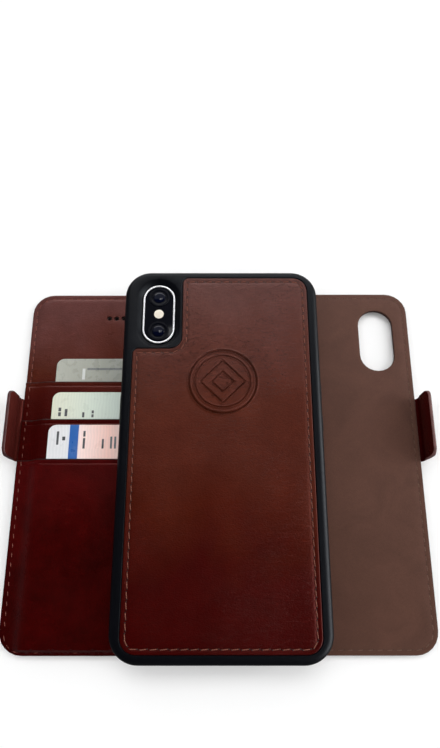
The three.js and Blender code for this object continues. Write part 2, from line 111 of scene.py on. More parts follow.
COVER_RADIUS = 9.0
POCKET_LEATHER = 0.45
POCKET_ROOT = 0.3
SEAM_TURN = 0.14
EDGE_LEVEL = 1.45
WINDOW_WIDTH, WINDOW_HEIGHT, WINDOW_FLARE = 14.6, 28.4, 1.4
WINDOW_X, WINDOW_Y = MIDDLE + 67.2, MIDDLE_Y + 52.7
EARPIECE_X, EARPIECE_Y = MIDDLE - 43.05, MIDDLE_Y + 63.5
EARPIECE_PITCH, EARPIECE_RADIUS, EARPIECE_COUNT = 3.1, 0.95, 4
# height of the dark discs of painted shade in the earpiece holes
EARPIECE_HOLE_SHADE_LEVEL = 1.0
STITCH_INSET = 2.0
NOTCH_RIGHT, NOTCH_BOTTOM = SHELL_X - 15.1, SHELL_Y + 40.4
SHELL_RADIUS = 10.5
PANEL_RADIUS = 5.5
CAMERA_X = (RING_LOW.x + RING_HIGH.x) / 2
CAMERA_Y = (RING_LOW.y + RING_HIGH.y) / 2


# ---------------------------------------------------------------- outlines
def ring(corners, inset=0.0, arc=6, step=1.6):
    """A closed outline with rounded corners, moved inwards by an inset.

    corners are (x, y, radius) in counter-clockwise order. Every inset gives the same number of
    points, so that two rings can be joined point by point.
    """
    count = len(corners)
    places = [Vector((x, y)) for x, y, _ in corners]
    ways = [(places[(i + 1) % count] - places[i]).normalized() for i in range(count)]
    points = []
    for i, (_, _, radius) in enumerate(corners):
        way_in, way_out = ways[i - 1], ways[i]
        normal_in = Vector((-way_in.y, way_in.x))
        normal_out = Vector((-way_out.y, way_out.x))
        turn = 1 if way_in.cross(way_out) > 0 else -1
        turning = way_in.angle(way_out)
        corner = places[i] + (normal_in + normal_out) * inset / (1 + normal_in.dot(normal_out))
        bent = max(radius - turn * inset, LEAST_BEND)
        start = corner - way_in * bent * math.tan(turning / 2)
        centre = start + normal_in * turn * bent
        spoke = start - centre
        for k in range(arc + 1):
            angle = turn * turning * k / arc
            points.append(centre + Vector((
                spoke.x * math.cos(angle) - spoke.y * math.sin(angle),
                spoke.x * math.sin(angle) + spoke.y * math.cos(angle))))
    closed = []
    for i in range(count):
        closed.extend(points[i * (arc + 1):(i + 1) * (arc + 1)])
        begin, end = closed[-1], points[(i + 1) * (arc + 1) % len(points)]
        side = (places[(i + 1) % count] - places[i]).length
        straight = side - corners[i][2] - corners[(i + 1) % count][2]
        pieces = max(1, int(straight / step))
        closed.extend(begin.lerp(end, k / pieces) for k in range(1, pieces))
    return closed


def box_corners(left, right, bottom, top, radii):
    """Corners of a rectangle: radii in the order left bottom, right bottom, right top, left top."""
    places = [(left, bottom), (right, bottom), (right, top), (left, top)]
    return [(x, y, radius) for (x, y), radius in zip(places, radii)]


def pill(x, y, width, height):
    """Corners of an upright pill."""
    bend = width / 2 - HAIR
    return box_corners(x - width / 2, x + width / 2, y - height / 2, y + height / 2, [bend] * 4)


def inside(point, loop):
    """Whether a point lies inside a closed loop."""
    hit = False
    for a, b in zip(loop, loop[1:] + loop[:1]):
        if (a.y > point.y) != (b.y > point.y):
            if point.x < (b.x - a.x) * (point.y - a.y) / (b.y - a.y) + a.x:
                hit = not hit
    return hit


def clear_of(point, loop, gap):
    """Whether a point is at least a gap away from every point of a loop."""
    return all((point - other).length_squared > gap * gap for other in loop)


def grid(corners, spacing, margin):
    """Points of a square grid that lie inside an outline."""
    loop = ring(corners, margin)
    left, right = min(p.x for p in loop), max(p.x for p in loop)
    low, high = min(p.y for p in loop), max(p.y for p in loop)
    points = []
    for i in range(int((right - left) / spacing) + 1):
        for j in range(int((high - low) / spacing) + 1):
            point = Vector((left + i * spacing, low + j * spacing))
            if inside(point, loop):
                points.append(point)
    return points


# ---------------------------------------------------------------- mesh making
def make_object(name, build, materials, crease=40):
    """An object of a bmesh in millimetres: scaled, with its normals out and sharp edges marked.

    crease is the angle in degrees from which an edge is sharp.
    """
    bmesh.ops.remove_doubles(build, verts=build.verts, dist=WELD)
    bmesh.ops.dissolve_degenerate(build, edges=build.edges, dist=WELD / 4)
    bmesh.ops.recalc_face_normals(build, faces=build.faces)
    for face in build.faces:
        face.smooth = True
    for edge in build.edges:
        edge.smooth = edge.calc_face_angle(0) < math.radians(crease)
    bmesh.ops.scale(build, vec=(MM, MM, MM), verts=build.verts)
    mesh = bpy.data.meshes.new(name)
    build.to_mesh(mesh)
    build.free()
    for material in materials:
        mesh.materials.append(material)
    made = bpy.data.objects.new(name, mesh)
    bpy.context.scene.collection.objects.link(made)
    return made


def join_loops(build, first, second, look=0):
    """Faces between two loops of as many vertices each, which may share some of them."""
    count = len(first)
    for i in range(count):
        corners = dict.fromkeys((first[i], first[(i + 1) % count], second[(i + 1) % count], second[i]))
        if len(corners) > 2:
            build.faces.new(list(corners)).material_index = look


def join_stack(build, loops):
    """Faces between each two loops that follow one another."""
    for first, second in zip(loops, loops[1:]):
        join_loops(build, first, second)


def plan(loop):
    """The places of a loop's vertices, seen from above."""
    return [Vector((vert.co.x, vert.co.y)) for vert in loop]


def fill(build, loops, holes, points, height):
    """Triangles over the area inside the loops and outside the holes, through the given points."""
    placed = [vert for loop in loops + holes for vert in loop]
    edges = []
    start = 0
    for loop in loops + holes:
        edges.extend((start + i, start + (i + 1) % len(loop)) for i in range(len(loop)))
        start += len(loop)
    outer = [plan(loop) for loop in loops]
    inner = [plan(loop) for loop in holes]
    where, _, faces, origins = delaunay_2d_cdt(plan(placed) + points, edges, [], 0, TOUCH)[:4]
    verts = []
    for place, origin in zip(where, origins):
        known = [o for o in origin if o < len(placed)]
        if known:
            verts.append(placed[known[0]])
        else:
            verts.append(build.verts.new((place.x, place.y, height(place.x, place.y))))
    for face in faces:
        first, second, third = (where[i] for i in face)
        if abs((second - first).cross(third - first)) < SLIVER:
            continue
        centre = (first + second + third) / 3
        if not any(inside(centre, loop) for loop in outer):
            continue
        if any(inside(centre, loop) for loop in inner):
            continue
        corners = [verts[i] for i in face]
        if len(set(corners)) == 3 and build.faces.get(corners) is None:
            build.faces.new(corners)


def edge_profile(radius):
    """Insets and drops of a rounded edge, from its outer face to the flat."""
    angles = [math.pi / 2 * k / EDGE_STEPS for k in range(EDGE_STEPS + 1)]
    return [(radius * (1 - math.cos(a)), radius * (1 - math.sin(a))) for a in angles]


def slab(name, corners, top, bottom, materials, edge, under, rings=(), holes=(), points=(),
         step=1.6, flat_at=None, crease=40, shape=None, arc=6):
    """A sheet with rounded edges: top(x, y, inset) and bottom(x, y, inset) give its two heights.

    edge and under are the radii of its upper and lower edge, rings are extra insets that the top
    follows, holes are outlines cut through it, points are the inner points of its top, flat_at is
    an X at which its end is cut square to meet another, and shape moves each finished point.
    """
    build = bmesh.new()
    square_end = {}
    if flat_at is not None:
        for index, point in enumerate(ring(corners, arc=arc, step=step)):
            if abs(point.x - flat_at) < ON_LINE:
                for upper, height in ((True, top), (False, bottom)):
                    level = height(flat_at, point.y, INNERMOST)
                    square_end[upper, index, 1] = build.verts.new((flat_at, point.y, level))

    def loop(outline, inset, drop, upper, side):
        made = []
        for index, point in enumerate(ring(outline, side * inset, arc=arc, step=step)):
            height = top if upper else bottom
            level = height(point.x, point.y, inset) + (-drop if upper else drop)
            shared = square_end.get((upper, index, side))
            made.append(shared or build.verts.new((point.x, point.y, level)))
        return made

    def stack(outline, extra, side):
        """Walls of an outline (side 1) or of a hole (side -1): its lowest and highest loop."""
        loops = [loop(outline, inset, drop, False, side) for inset, drop in reversed(edge_profile(under))]
        loops += [loop(outline, inset, drop, True, side) for inset, drop in edge_profile(edge)]
        loops += [loop(outline, inset, 0, True, side) for inset in extra]
        join_stack(build, loops)
        return loops[0], loops[-1]

    low, high = stack(corners, rings, 1)
    cuts = [stack(hole, (), -1) for hole in holes]
    walls = [plan(cut[1]) for cut in cuts]
    kept = [p for p in points if not any(inside(p, w) or not clear_of(p, w, HOLE_MARGIN) for w in walls)]
    fill(build, [high], [cut[1] for cut in cuts], kept, lambda x, y: top(x, y, INNERMOST))
    # a third of the points is enough for the hidden side
    fill(build, [low], [cut[0] for cut in cuts], kept[::3], lambda x, y: bottom(x, y, INNERMOST))
    if shape:
        for vert in build.verts:
            vert.co = shape(vert.co)
    return make_object(name, build, materials, crease)


STITCH_LENGTH = 2.7
STITCH_SIDES = 6
STITCH_LEAN = 0.16
STITCH_FLATNESS = 0.8
# painted shade: these end bands of each stitch are coloured dark for the shade in its needle holes
HOLE_BANDS = 3      # bands at each end of the profile that belong to a needle hole
STITCH_PROFILE = [
    # place along the stitch, thickness, rise: a needle hole, the thread, a needle hole
    (-1.12, 0.5, -0.16), (-1.06, 1.6, -0.06), (-0.92, 1.7, -0.05), (-0.84, 0.7, -0.08), (-0.5, 0.95, 0.03),
    (0.0, 1.0, 0.08), (0.5, 0.95, 0.03), (0.84, 0.7, -0.08), (0.92, 1.7, -0.05), (1.06, 1.6, -0.06),
    (1.12, 0.5, -0.16)]


def one_stitch(build, middle, along, radius, height, upside_down):
    """Adds one stitch along a direction: a leaning thread between two needle holes, whose darkness is
    painted shade.
    """
    across = Vector((-along.y, along.x))
    circles = []
    for part, thick, rise in STITCH_PROFILE:
        centre = middle + along * part * STITCH_LENGTH / 2 + across * part * STITCH_LEAN
        level = height(centre.x, centre.y)
        circle = []
        for k in range(STITCH_SIDES):
            angle = 2 * math.pi * k / STITCH_SIDES
            place = centre + across * math.cos(angle) * thick * radius
            up = math.sin(angle) * min(thick, 1.0) * radius * STITCH_FLATNESS + rise
            circle.append(build.verts.new((place.x, place.y, level + (-up if upside_down else up))))
        circles.append(circle)
    last = len(circles) - 1
    # painted shade: the bands and caps at each end take the dark needle-hole colour
    for band, (first, second) in enumerate(zip(circles, circles[1:])):
        in_hole_shade = band < HOLE_BANDS or band >= last - HOLE_BANDS
        join_loops(build, first, second, int(in_hole_shade))
    build.faces.new(circles[0]).material_index = 1
    build.faces.new(list(reversed(circles[-1]))).material_index = 1


def stitches(name, outline, inset, height, keep, material, body, pitch=3.6, radius=0.2,
             upside_down=False):
    """A row of single stitches round an outline, at the places that keep(x, y) allows."""
    loop = ring(outline, inset, step=0.6)
    build = bmesh.new()
    travelled, next_at = 0.0, pitch / 2
    for a, b in zip(loop, loop[1:] + loop[:1]):
        gap = (b - a).length
        while gap > 0 and next_at <= travelled + gap:
            middle = a.lerp(b, (next_at - travelled) / gap)
            next_at += pitch
            if keep(middle.x, middle.y):
                one_stitch(build, middle, (b - a).normalized(), radius, height, upside_down)
        travelled += gap
    made = make_object(name, build, [material, NEEDLE_HOLE_SHADE], crease=80)
    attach(made, body)


# ---------------------------------------------------------------- materials
COLOUR_A, COLOUR_B, COLOUR_OUT = 6, 7, 2    # a Mix node's sockets for colours


class Nodes:
    """A short way to write a material's nodes."""

    def __init__(self, name):
        self.material = bpy.data.materials.new(name)
        self.material.use_nodes = True
        self.tree = self.material.node_tree
        self.shader = self.tree.nodes["Principled BSDF"]
        self.place = self.tree.nodes.new("ShaderNodeTexCoord").outputs["Object"]

    def add(self, kind, inputs=None, **settings):
        node = self.tree.nodes.new("ShaderNode" + kind)
        for key, value in settings.items():
            setattr(node, key, value)
        for key, value in (inputs or {}).items():
            self.put(node.inputs[key], value)
        return node

    def put(self, socket, value):
        if isinstance(value, bpy.types.NodeSocket):
            self.tree.links.new(value, socket)
        else:
            socket.default_value = value

    def set(self, **values):
        for key, value in values.items():
            self.put(self.shader.inputs[key.replace("_", " ")], value)

    def stretched(self, x, y, z):
        return self.add("Mapping", {"Vector": self.place, "Scale": (x, y, z)}).outputs["Vector"]

    def noise(self, scale, detail=3.0, rough=0.5, where=None, distortion=0.0):
        node = self.add("TexNoise", {
            "Vector": where or self.place, "Scale": scale, "Detail": detail,
            "Roughness": rough, "Distortion": distortion})
        return node.outputs["Fac"]

    def cells(self, scale, where):
        return self.add("TexVoronoi", {"Vector": where, "Scale": scale}).outputs["Distance"]

    def remap(self, value, low, high, to_low=0.0, to_high=1.0):
        node = self.add("MapRange", {
            "Value": value, "From Min": low, "From Max": high, "To Min": to_low, "To Max": to_high})
        return node.outputs["Result"]

    def math(self, operation, first, second=0.0):
        node = self.add("Math", operation=operation)
        self.put(node.inputs[0], first)
        self.put(node.inputs[1], second)
        return node.outputs[0]

    def ramp(self, value, stops):
        node = self.add("ValToRGB", {"Fac": value})
        bar = node.color_ramp
        while len(bar.elements) < len(stops):
            bar.elements.new(0.5)
        for element, (at, colour) in zip(bar.elements, stops):
            element.position = at
            element.color = (*colour, 1)
        return node.outputs["Color"]

    def mix(self, factor, first, second, blend="MIX"):
        node = self.add("Mix", data_type="RGBA", blend_type=blend)
        self.put(node.inputs["Factor"], factor)
        for socket, colour in ((COLOUR_A, first), (COLOUR_B, second)):
            self.put(node.inputs[socket], (*colour, 1) if isinstance(colour, tuple) else colour)
        return node.outputs[COLOUR_OUT]

    def shade(self, tone, value):
        """A colour made darker or lighter by a number."""
        grey = self.add("CombineXYZ", {"X": value, "Y": value, "Z": value}).outputs[0]
        return self.mix(1.0, tone, grey, "MULTIPLY")

    def crease(self, value, width):
        """1 along the lines where a noise passes its middle, fading over a width."""
        away = self.math("ABSOLUTE", self.math("SUBTRACT", value, 0.5))
        return self.remap(away, 0.0, width, 1.0, 0.0)

    def bump(self, height, distance, strength, under=None):
        node = self.add("Bump", {"Height": height, "Distance": distance, "Strength": strength})
        if under is not None:
            self.put(node.inputs["Normal"], under)
        return node.outputs["Normal"]

    def axis(self, name):
        return self.add("SeparateXYZ", {"Vector": self.place}).outputs[name]


RED_SHEEN = (1.0, 0.3, 0.25, 1.0)
COOL_SHEEN = (0.85, 0.93, 1.0, 1.0)
# painted light on leather: paler towards the top as painted sheen, darker towards the bottom as painted
# shade
LEATHER_PAINTED_LIGHT_REACH = 0.0755     # the tone of leather changes over this far each way from the middle
# painted shade on suede: lighter towards the top, darker towards the bottom
SUEDE_SHADE_REACH = 0.076     # and that of suede over this far
SCUFFS = 0.3            # how strong the scratches in the leather are


def srgb(red, green, blue):
    """A colour in 0..255 as the linear numbers that a shader takes."""
    shares = (red / 255, green / 255, blue / 255)
    return tuple(((v + 0.055) / 1.055) ** 2.4 if v > 0.04045 else v / 12.92 for v in shares)


def leather(name, rough, wrinkles, stops, grain=0.00006, level=0.25, mottle=0.16):
    """Leather: its tone follows stops from the bottom edge to the top one, paler towards the top as painted
    sheen and darker towards the bottom as painted shade.

    wrinkles is how strong the fine creases are and how much their painted shade darkens the tone, grain the
    depth of the pores in metres, level how much the surface reflects, and mottle how uneven the tone is.
    """
    n = Nodes(name)
    # painted light: the tone is paler towards the top, standing in for the sheen of the light from behind,
    # and darker and redder towards the bottom as painted shade
    along = n.remap(n.axis("Y"), -LEATHER_PAINTED_LIGHT_REACH, LEATHER_PAINTED_LIGHT_REACH)
    drift = n.math("ADD", along, n.remap(n.noise(24, 4, 0.55, distortion=0.6), 0.3, 0.7, -0.07, 0.07))
    tone = n.ramp(drift, stops)
    tone = n.shade(tone, n.remap(n.noise(80, 5, 0.6), 0.3, 0.7, 1 - mottle, 1 + mottle))
    cloud = n.noise(1100, 4, 0.7)
    tone = n.shade(tone, n.remap(cloud, 0.3, 0.7, 0.86, 1.14))
    wrinkle = n.crease(n.noise(210, 4, 0.6, n.stretched(1, 3.6, 1), 0.5), 0.02)
    wrinkle = n.math("MULTIPLY", wrinkle, n.remap(n.noise(45, 2), 0.4, 0.6, 0.25, 1.0))
    wrinkle = n.math("MULTIPLY", wrinkle, n.remap(along, 0.35, 0.7, 0.25, 1.0))
    # painted shade: the tone is darker along the creases
    tone = n.shade(tone, n.remap(wrinkle, 0.0, 1.0, 1.0, 1.0 - 0.6 * wrinkles))
    slanted = n.add("Mapping", {"Vector": n.place, "Rotation": (0, 0, 0.6), "Scale": (1, 9, 1)})
    scratch = n.crease(n.noise(30, 3, 0.5, slanted.outputs["Vector"], 0.3), 0.006)
    scratch = n.math("MULTIPLY", scratch, n.remap(n.noise(33, 3), 0.52, 0.62))
    scratch = n.math("MULTIPLY", scratch, SCUFFS)
    tone = n.mix(scratch, tone, n.shade(tone, 2.6))
    pores = n.remap(n.cells(1500, where=n.stretched(1, 1.35, 1)), 0.0, 0.7)
    height = n.math("ADD", n.math("MULTIPLY", pores, 0.55), n.math("MULTIPLY", cloud, 0.5))
    height = n.math("SUBTRACT", height, n.math("MULTIPLY", wrinkle, wrinkles * 0.7))
    height = n.math("SUBTRACT", height, scratch)
    normal = n.bump(n.noise(150, 4, 0.65, n.stretched(1, 3.2, 1), 0.4), 0.00012, 0.4)
    normal = n.bump(height, grain, 0.9, normal)
    shine = n.remap(n.noise(48, 4, 0.6), 0.3, 0.7, rough - 0.06, rough + 0.09)
    n.set(Base_Color=tone, Roughness=shine, Normal=normal, Specular_IOR_Level=level,
          Specular_Tint=RED_SHEEN)
    return n.material


def suede(name, far, near):
    """Fine microfibre with a soft nap that lies in slightly different directions, darker towards the bottom
    as painted shade.
    """
    n = Nodes(name)
    # painted shade: the tone goes from the lighter far colour at the top to the darker near colour at the
    # bottom
    tone = n.ramp(n.remap(n.axis("Y"), -SUEDE_SHADE_REACH, SUEDE_SHADE_REACH), [(0.0, near), (1.0, far)])
    nap = n.remap(n.noise(60, 4, 0.55, distortion=1.2), 0.3, 0.7, 0.9, 1.1)
    speck = n.remap(n.noise(3800, 2, 0.7), 0.3, 0.7, 0.8, 1.2)
    tone = n.shade(tone, nap)
    tone = n.shade(tone, speck)
    fibre = n.noise(5200, 3, 0.7, n.stretched(1, 0.55, 1))
    normal = n.bump(fibre, 0.00008, 0.7, n.bump(n.noise(300, 3), 0.00012, 0.35))
    n.set(Base_Color=tone, Roughness=n.remap(speck, 0.8, 1.2, 0.86, 0.98), Normal=normal,
          Specular_IOR_Level=0.06, Sheen_Weight=0.1, Sheen_Roughness=0.5)
    return n.material


def rubber(name, colour, rough):
    """Moulded black rubber with a fine spark-eroded texture and faint rub marks."""
    n = Nodes(name)
    worn = n.remap(n.noise(55, 4, 0.6), 0.35, 0.75, 0.85, 1.3)
    tone = n.shade(colour, worn)
    normal = n.bump(n.noise(2400, 2, 0.5), 0.00003, 0.7)
    shine = n.remap(n.noise(900, 4, 0.6), 0.3, 0.7, rough - 0.05, rough + 0.07)
    n.set(Base_Color=tone, Roughness=shine, Normal=normal, Specular_IOR_Level=0.1,
          Specular_Tint=COOL_SHEEN)
    return n.material


def toned(colour, times):
    """A colour that is so many times as bright, at most white."""
    return tuple(min(c * times, 1.0) for c in colour)


def edge_paint(name, colour):
    """The painted raw edge of cut leather: brushed on, slightly uneven and semi-gloss."""
    n = Nodes(name)
    tone = n.mix(n.remap(n.noise(400, 4), 0.35, 0.65), colour, toned(colour, 1.7))
    normal = n.bump(n.noise(700, 3, 0.6, n.stretched(0.3, 0.3, 1.6)), 0.00008, 0.6)
    n.set(Base_Color=tone, Roughness=n.remap(n.noise(250, 3), 0.3, 0.7, 0.34, 0.5), Normal=normal,
          Specular_IOR_Level=0.25)
    return n.material


def thread(name, colour):
    """Waxed sewing thread: two twisted plies seen as slanted ridges, darker between the plies and lighter
    on their crowns as painted shade and highlight.
    """
    n = Nodes(name)
    twist = n.add("TexWave", {"Vector": n.place, "Scale": 900.0, "Distortion": 1.5, "Detail": 2.0},
                  bands_direction="DIAGONAL").outputs["Fac"]
    # painted shade and highlight: the tone follows the twist, dark in the grooves between the plies and
    # light on their crowns
    tone = n.mix(twist, toned(colour, 0.55), toned(colour, 1.25))
    tone = n.mix(n.remap(n.noise(120, 3), 0.3, 0.7, 0.0, 0.45), tone, toned(colour, 0.45))
    n.set(Base_Color=tone, Roughness=n.remap(n.noise(1500, 2), 0.3, 0.7, 0.55, 0.75),
          Normal=n.bump(twist, 0.00006, 0.8), Specular_IOR_Level=0.1)
    return n.material


def metal(name, colour, rough, brushed=True, metallic=1.0):
    """Worked metal: a directional grain over a slightly uneven polish."""
    n = Nodes(name)
    stroke = n.noise(1400, 3, 0.6, n.stretched(0.06, 1, 1) if brushed else None)
    tone = n.mix(n.remap(stroke, 0.3, 0.7), toned(colour, 0.86), colour)
    shine = n.remap(stroke, 0.3, 0.7, rough * 0.8, rough * 1.25)
    n.set(Base_Color=tone, Metallic=metallic, Roughness=shine, Normal=n.bump(stroke, 0.00001, 0.5))
    return n.material


def glass(name, colour, rough, level):
    """Polished glass with the faint bloom of handling."""
    n = Nodes(name)
    bloom = n.remap(n.noise(90, 5, 0.6), 0.45, 0.8)
    tone = n.mix(n.math("MULTIPLY", bloom, 0.25), colour, tuple(c * 2.5 for c in colour))
    n.set(Base_Color=tone, Roughness=n.remap(bloom, 0.0, 1.0, rough, rough + 0.06),
          Specular_IOR_Level=level, Normal=n.bump(n.noise(40, 2), 0.00001, 0.3))
    return n.material


def board(name, colour):
    """Grey stiffener board with loose fibres in it."""
    n = Nodes(name)
    fibre = n.noise(900, 5, 0.7, n.stretched(1, 0.4, 1))
    tone = n.mix(n.remap(fibre, 0.35, 0.65), toned(colour, 0.8), toned(colour, 1.15))
    n.set(Base_Color=tone, Roughness=n.remap(fibre, 0.3, 0.7, 0.85, 0.97),
          Normal=n.bump(fibre, 0.00005, 0.5))
    return n.material


def card_face(name, stops, low, high, marks, rough=0.3):
    """A printed plastic card: bands across its width, fine print as plain bars, faint guilloche."""
    n = Nodes(name)
    across = n.remap(n.axis("X"), low * MM, high * MM)
    tone = n.ramp(across, stops)
    weave = n.add("TexWave", {"Vector": n.place, "Scale": 260.0, "Distortion": 6.0, "Detail": 1.5,
                              "Detail Scale": 0.6}).outputs["Fac"]
    tone = n.mix(n.remap(weave, 0.0, 1.0, 0.0, 0.1), tone, (0.25, 0.3, 0.32))
    for colour, left, right, bottom, top in marks:
        tone = n.mix(printed_bar(n, left, right, bottom, top), tone, colour)
    worn = n.remap(n.noise(160, 4, 0.6), 0.4, 0.75, 0.0, 0.12)
    tone = n.mix(worn, tone, (0.55, 0.55, 0.52))
    n.set(Base_Color=tone, Roughness=n.remap(n.noise(300, 3), 0.3, 0.7, rough - 0.05, rough + 0.08),
          Normal=n.bump(n.noise(500, 2), 0.00001, 0.4), Coat_Weight=0.3, Coat_Roughness=0.12)
    return n.material


def printed_bar(n, left, right, bottom, top):
    """1 inside a printed rectangle and 0 outside it."""
    sides = []
    for axis, low, high in (("X", left, right), ("Y", bottom, top)):
        place = n.axis(axis)
        above, below = n.math("GREATER_THAN", place, low * MM), n.math("LESS_THAN", place, high * MM)
        sides.append(n.math("MULTIPLY", above, below))
    return n.math("MULTIPLY", *sides)


# The stops of each leather run from its bottom edge to its top: the paler top stops are painted sheen, the
# dark red bottom stops painted shade.
SHINY_LEATHER = leather("shiny_leather", 0.3, 0.15, [
    (0.0, srgb(46, 2, 2)), (0.5, srgb(48, 1, 1)), (0.62, srgb(51, 2, 1)), (0.71, srgb(60, 8, 4)),
    (0.8, srgb(71, 29, 18)), (0.92, srgb(80, 47, 44))])
POCKET_FACE = leather("pocket_leather", 0.28, 0.1, [
    (0.0, srgb(47, 1, 1)), (0.3, srgb(54, 2, 2)), (0.5, srgb(62, 5, 6))], level=0.2, mottle=0.36)
SHELL_FACE = leather("shell_leather", 0.38, 1.5, [
    (0.0, srgb(50, 1, 1)), (0.2, srgb(52, 3, 2)), (0.33, srgb(60, 15, 4)), (0.45, srgb(68, 27, 16)),
    (0.62, srgb(70, 32, 21)), (0.8, srgb(73, 41, 34)), (1.0, srgb(80, 54, 50))],
    grain=0.0001, level=0.2)
OUTER_FACE = leather("outer_leather", 0.42, 0.6, [
    (0.0, srgb(58, 8, 6)), (0.5, srgb(68, 22, 14)), (1.0, srgb(74, 32, 24))], grain=0.0001, level=0.3)
# Painted light: one leather in two copies, lighter for the front tab, whose inner face the right-hand light
# reaches, and darker for the back tab.
TAB_LIT_AND_SHADED_FACES = {
    "front": leather("front_tab_leather_painted_lit", 0.3, 0.1, [(0.48, srgb(74, 22, 18)), (0.7, srgb(90, 37, 32))]),
    "back": leather("back_tab_leather_painted_shade", 0.3, 0.1, [(0.48, srgb(38, 0, 1)), (0.7, srgb(54, 4, 4))])}
SUEDE = suede("suede_lining", srgb(90, 62, 53), srgb(80, 53, 43))
# Painted shade: a dark sheet put in the earpiece holes, where there is only the shade of their depth.
EARPIECE_HOLE_SHADE = suede("earpiece_hole_painted_shade", srgb(14, 9, 9), srgb(12, 8, 8))
RUBBER = rubber("bumper_rubber", (0.0018, 0.0018, 0.003), 0.42)
EDGE = edge_paint("painted_edge", srgb(30, 11, 10))
SUEDE_EDGE = edge_paint("painted_suede_edge", srgb(48, 28, 24))
# Painted highlight: lighter copies of the edge paint for the tops of the tab rims, the back one lighter
# than the front one.
TAB_RIM_HIGHLIGHTS = {
    "front": edge_paint("front_tab_rim_highlight", srgb(60, 30, 30)),
    "back": edge_paint("back_tab_rim_highlight", srgb(88, 58, 56))}
# Painted shade: the dark colour of the needle holes.
NEEDLE_HOLE_SHADE = edge_paint("needle_hole_painted_shade", srgb(18, 5, 4))
THREAD = thread("reddish_thread", srgb(128, 74, 64))
BROWN_THREAD = thread("brown_thread", srgb(106, 79, 67))
SHELL_THREAD = thread("shell_thread", srgb(128, 78, 64))
BRIGHT_METAL = metal("polished_steel", (0.86, 0.86, 0.88), 0.3, False, 0.45)
STEEL = metal("brushed_steel", (0.55, 0.56, 0.58), 0.35)
MAGNET = metal("plated_magnet", (0.62, 0.62, 0.65), 0.25)
FOIL = metal("shielding_foil", (0.7, 0.7, 0.71), 0.3)
PHONE_METAL = metal("phone_frame_metal", (0.5, 0.5, 0.52), 0.2)
# Its faint blue tint is a painted reflection.
GLASS = glass("black_glass", (0.0006, 0.0008, 0.003), 0.04, 0.05)
# Its deep blue is a painted reflection of the lens coating.
LENS_GLASS = glass("coated_lens", (0.0008, 0.0016, 0.009), 0.03, 0.14)
# Dark glass: the black bezels of the lenses, and painted shade on the sides of the camera ring.
LENS_BEZEL_AND_SHADE = glass("lens_bezel_and_painted_shade", (0.0006, 0.0008, 0.003), 0.3, 0.06)
FLASH_LENS = glass("flash_lens", (0.74, 0.68, 0.58), 0.25, 0.3)
BOARD = board("stiffener_board", (0.19, 0.17, 0.15))
INK = srgb(70, 72, 76)


def paint(node, material):
    """Gives a kept CAD node its material."""
    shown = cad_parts[node]
    shown.data.materials.clear()
    shown.data.materials.append(material)


for node, material in {
    "back_board": BOARD, "spine_board": BOARD, "front_board": BOARD,
    "back_magnet_upper": MAGNET, "back_magnet_lower": MAGNET,
    "front_tab_magnet": MAGNET, "back_tab_magnet": MAGNET, "front_shielding_foil": FOIL,
    "shell_steel_plate_upper": STEEL, "shell_steel_plate_lower": STEEL,
    "phone_frame": PHONE_METAL, "phone_screen_glass": GLASS, "phone_back_glass": GLASS,
    "phone_camera_glass": GLASS,
}.items():
    paint(node, material)


# ---------------------------------------------------------------- folio: outer skin and linings
SHEET_GAP = 0.05                # left between two sheets that lie on each other
HEM_INNER, HEM_OUTER = 1.15, 0.9    # the outer skin turns up between these insets
CREASE_LINES, CREASE_SPACING = 6, 0.55      # lines of points on each side of a hinge
CREASE_ZONE = 4.2               # the plain grid of points keeps this far from a hinge
FLAT_FROM = HINGE + 3           # a cover is flat and sewn from here, counted from mid-spine


def folio_corners(side, inset):
    """Outline of one half of the folio, from the middle of the spine to a fore edge."""
    low, high = LOW_EDGE + inset, HIGH_EDGE - inset
    radius = COVER_RADIUS - inset
    if side < 0:
        return box_corners(LEFT_EDGE + inset, SPINE_X, low, high, [radius, 0, 0, radius])
    return box_corners(SPINE_X, RIGHT_EDGE - inset, low, high, [0, radius, radius, 0])


def crease_points(side):
    """Close lines of points along a hinge, so that the sheet can bend there."""
    points = []
    reach = HIGH_EDGE - MIDDLE_Y - 1.5
    count = int(reach)
    for k in range(-CREASE_LINES, CREASE_LINES + 1):
        x = SPINE_X + side * (HINGE + k * CREASE_SPACING)
        points.extend(Vector((x, MIDDLE_Y + reach * (2 * j / count - 1))) for j in range(count + 1))
    return points


def half_points(side, corners):
    """Inner points of one half of the folio: a grid, and the close lines at the hinge."""
    crease = SPINE_X + side * HINGE
    points = [p for p in grid(corners, spacing=2.6, margin=2.8) if abs(p.x - crease) > CREASE_ZONE]
    return points + crease_points(side)


def earpiece_holes():
    """Outlines of the row of earpiece holes."""
    holes = []
    for k in range(EARPIECE_COUNT):
        x = EARPIECE_X + (k - (EARPIECE_COUNT - 1) / 2) * EARPIECE_PITCH
        holes.append(pill(x, EARPIECE_Y, 2 * EARPIECE_RADIUS, 2 * EARPIECE_RADIUS))
    return holes


def window_hole(grow=0.0):
    """Outline of the camera window in the back cover."""
    return pill(WINDOW_X, WINDOW_Y, WINDOW_WIDTH + 2 * grow, WINDOW_HEIGHT + 2 * grow)


def paint_edges(piece, low, high):
    """Gives the second material to the upright faces between two heights."""
    for face in piece.data.polygons:
        upright = abs(face.normal.z) < 0.75
        if upright and low * MM < face.center.z < high * MM:
            face.material_index = 1


def bend_at_hinge(piece):
    """Bakes a folio sheet's placement into its mesh; the sheet is not bent here."""
    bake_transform(piece)


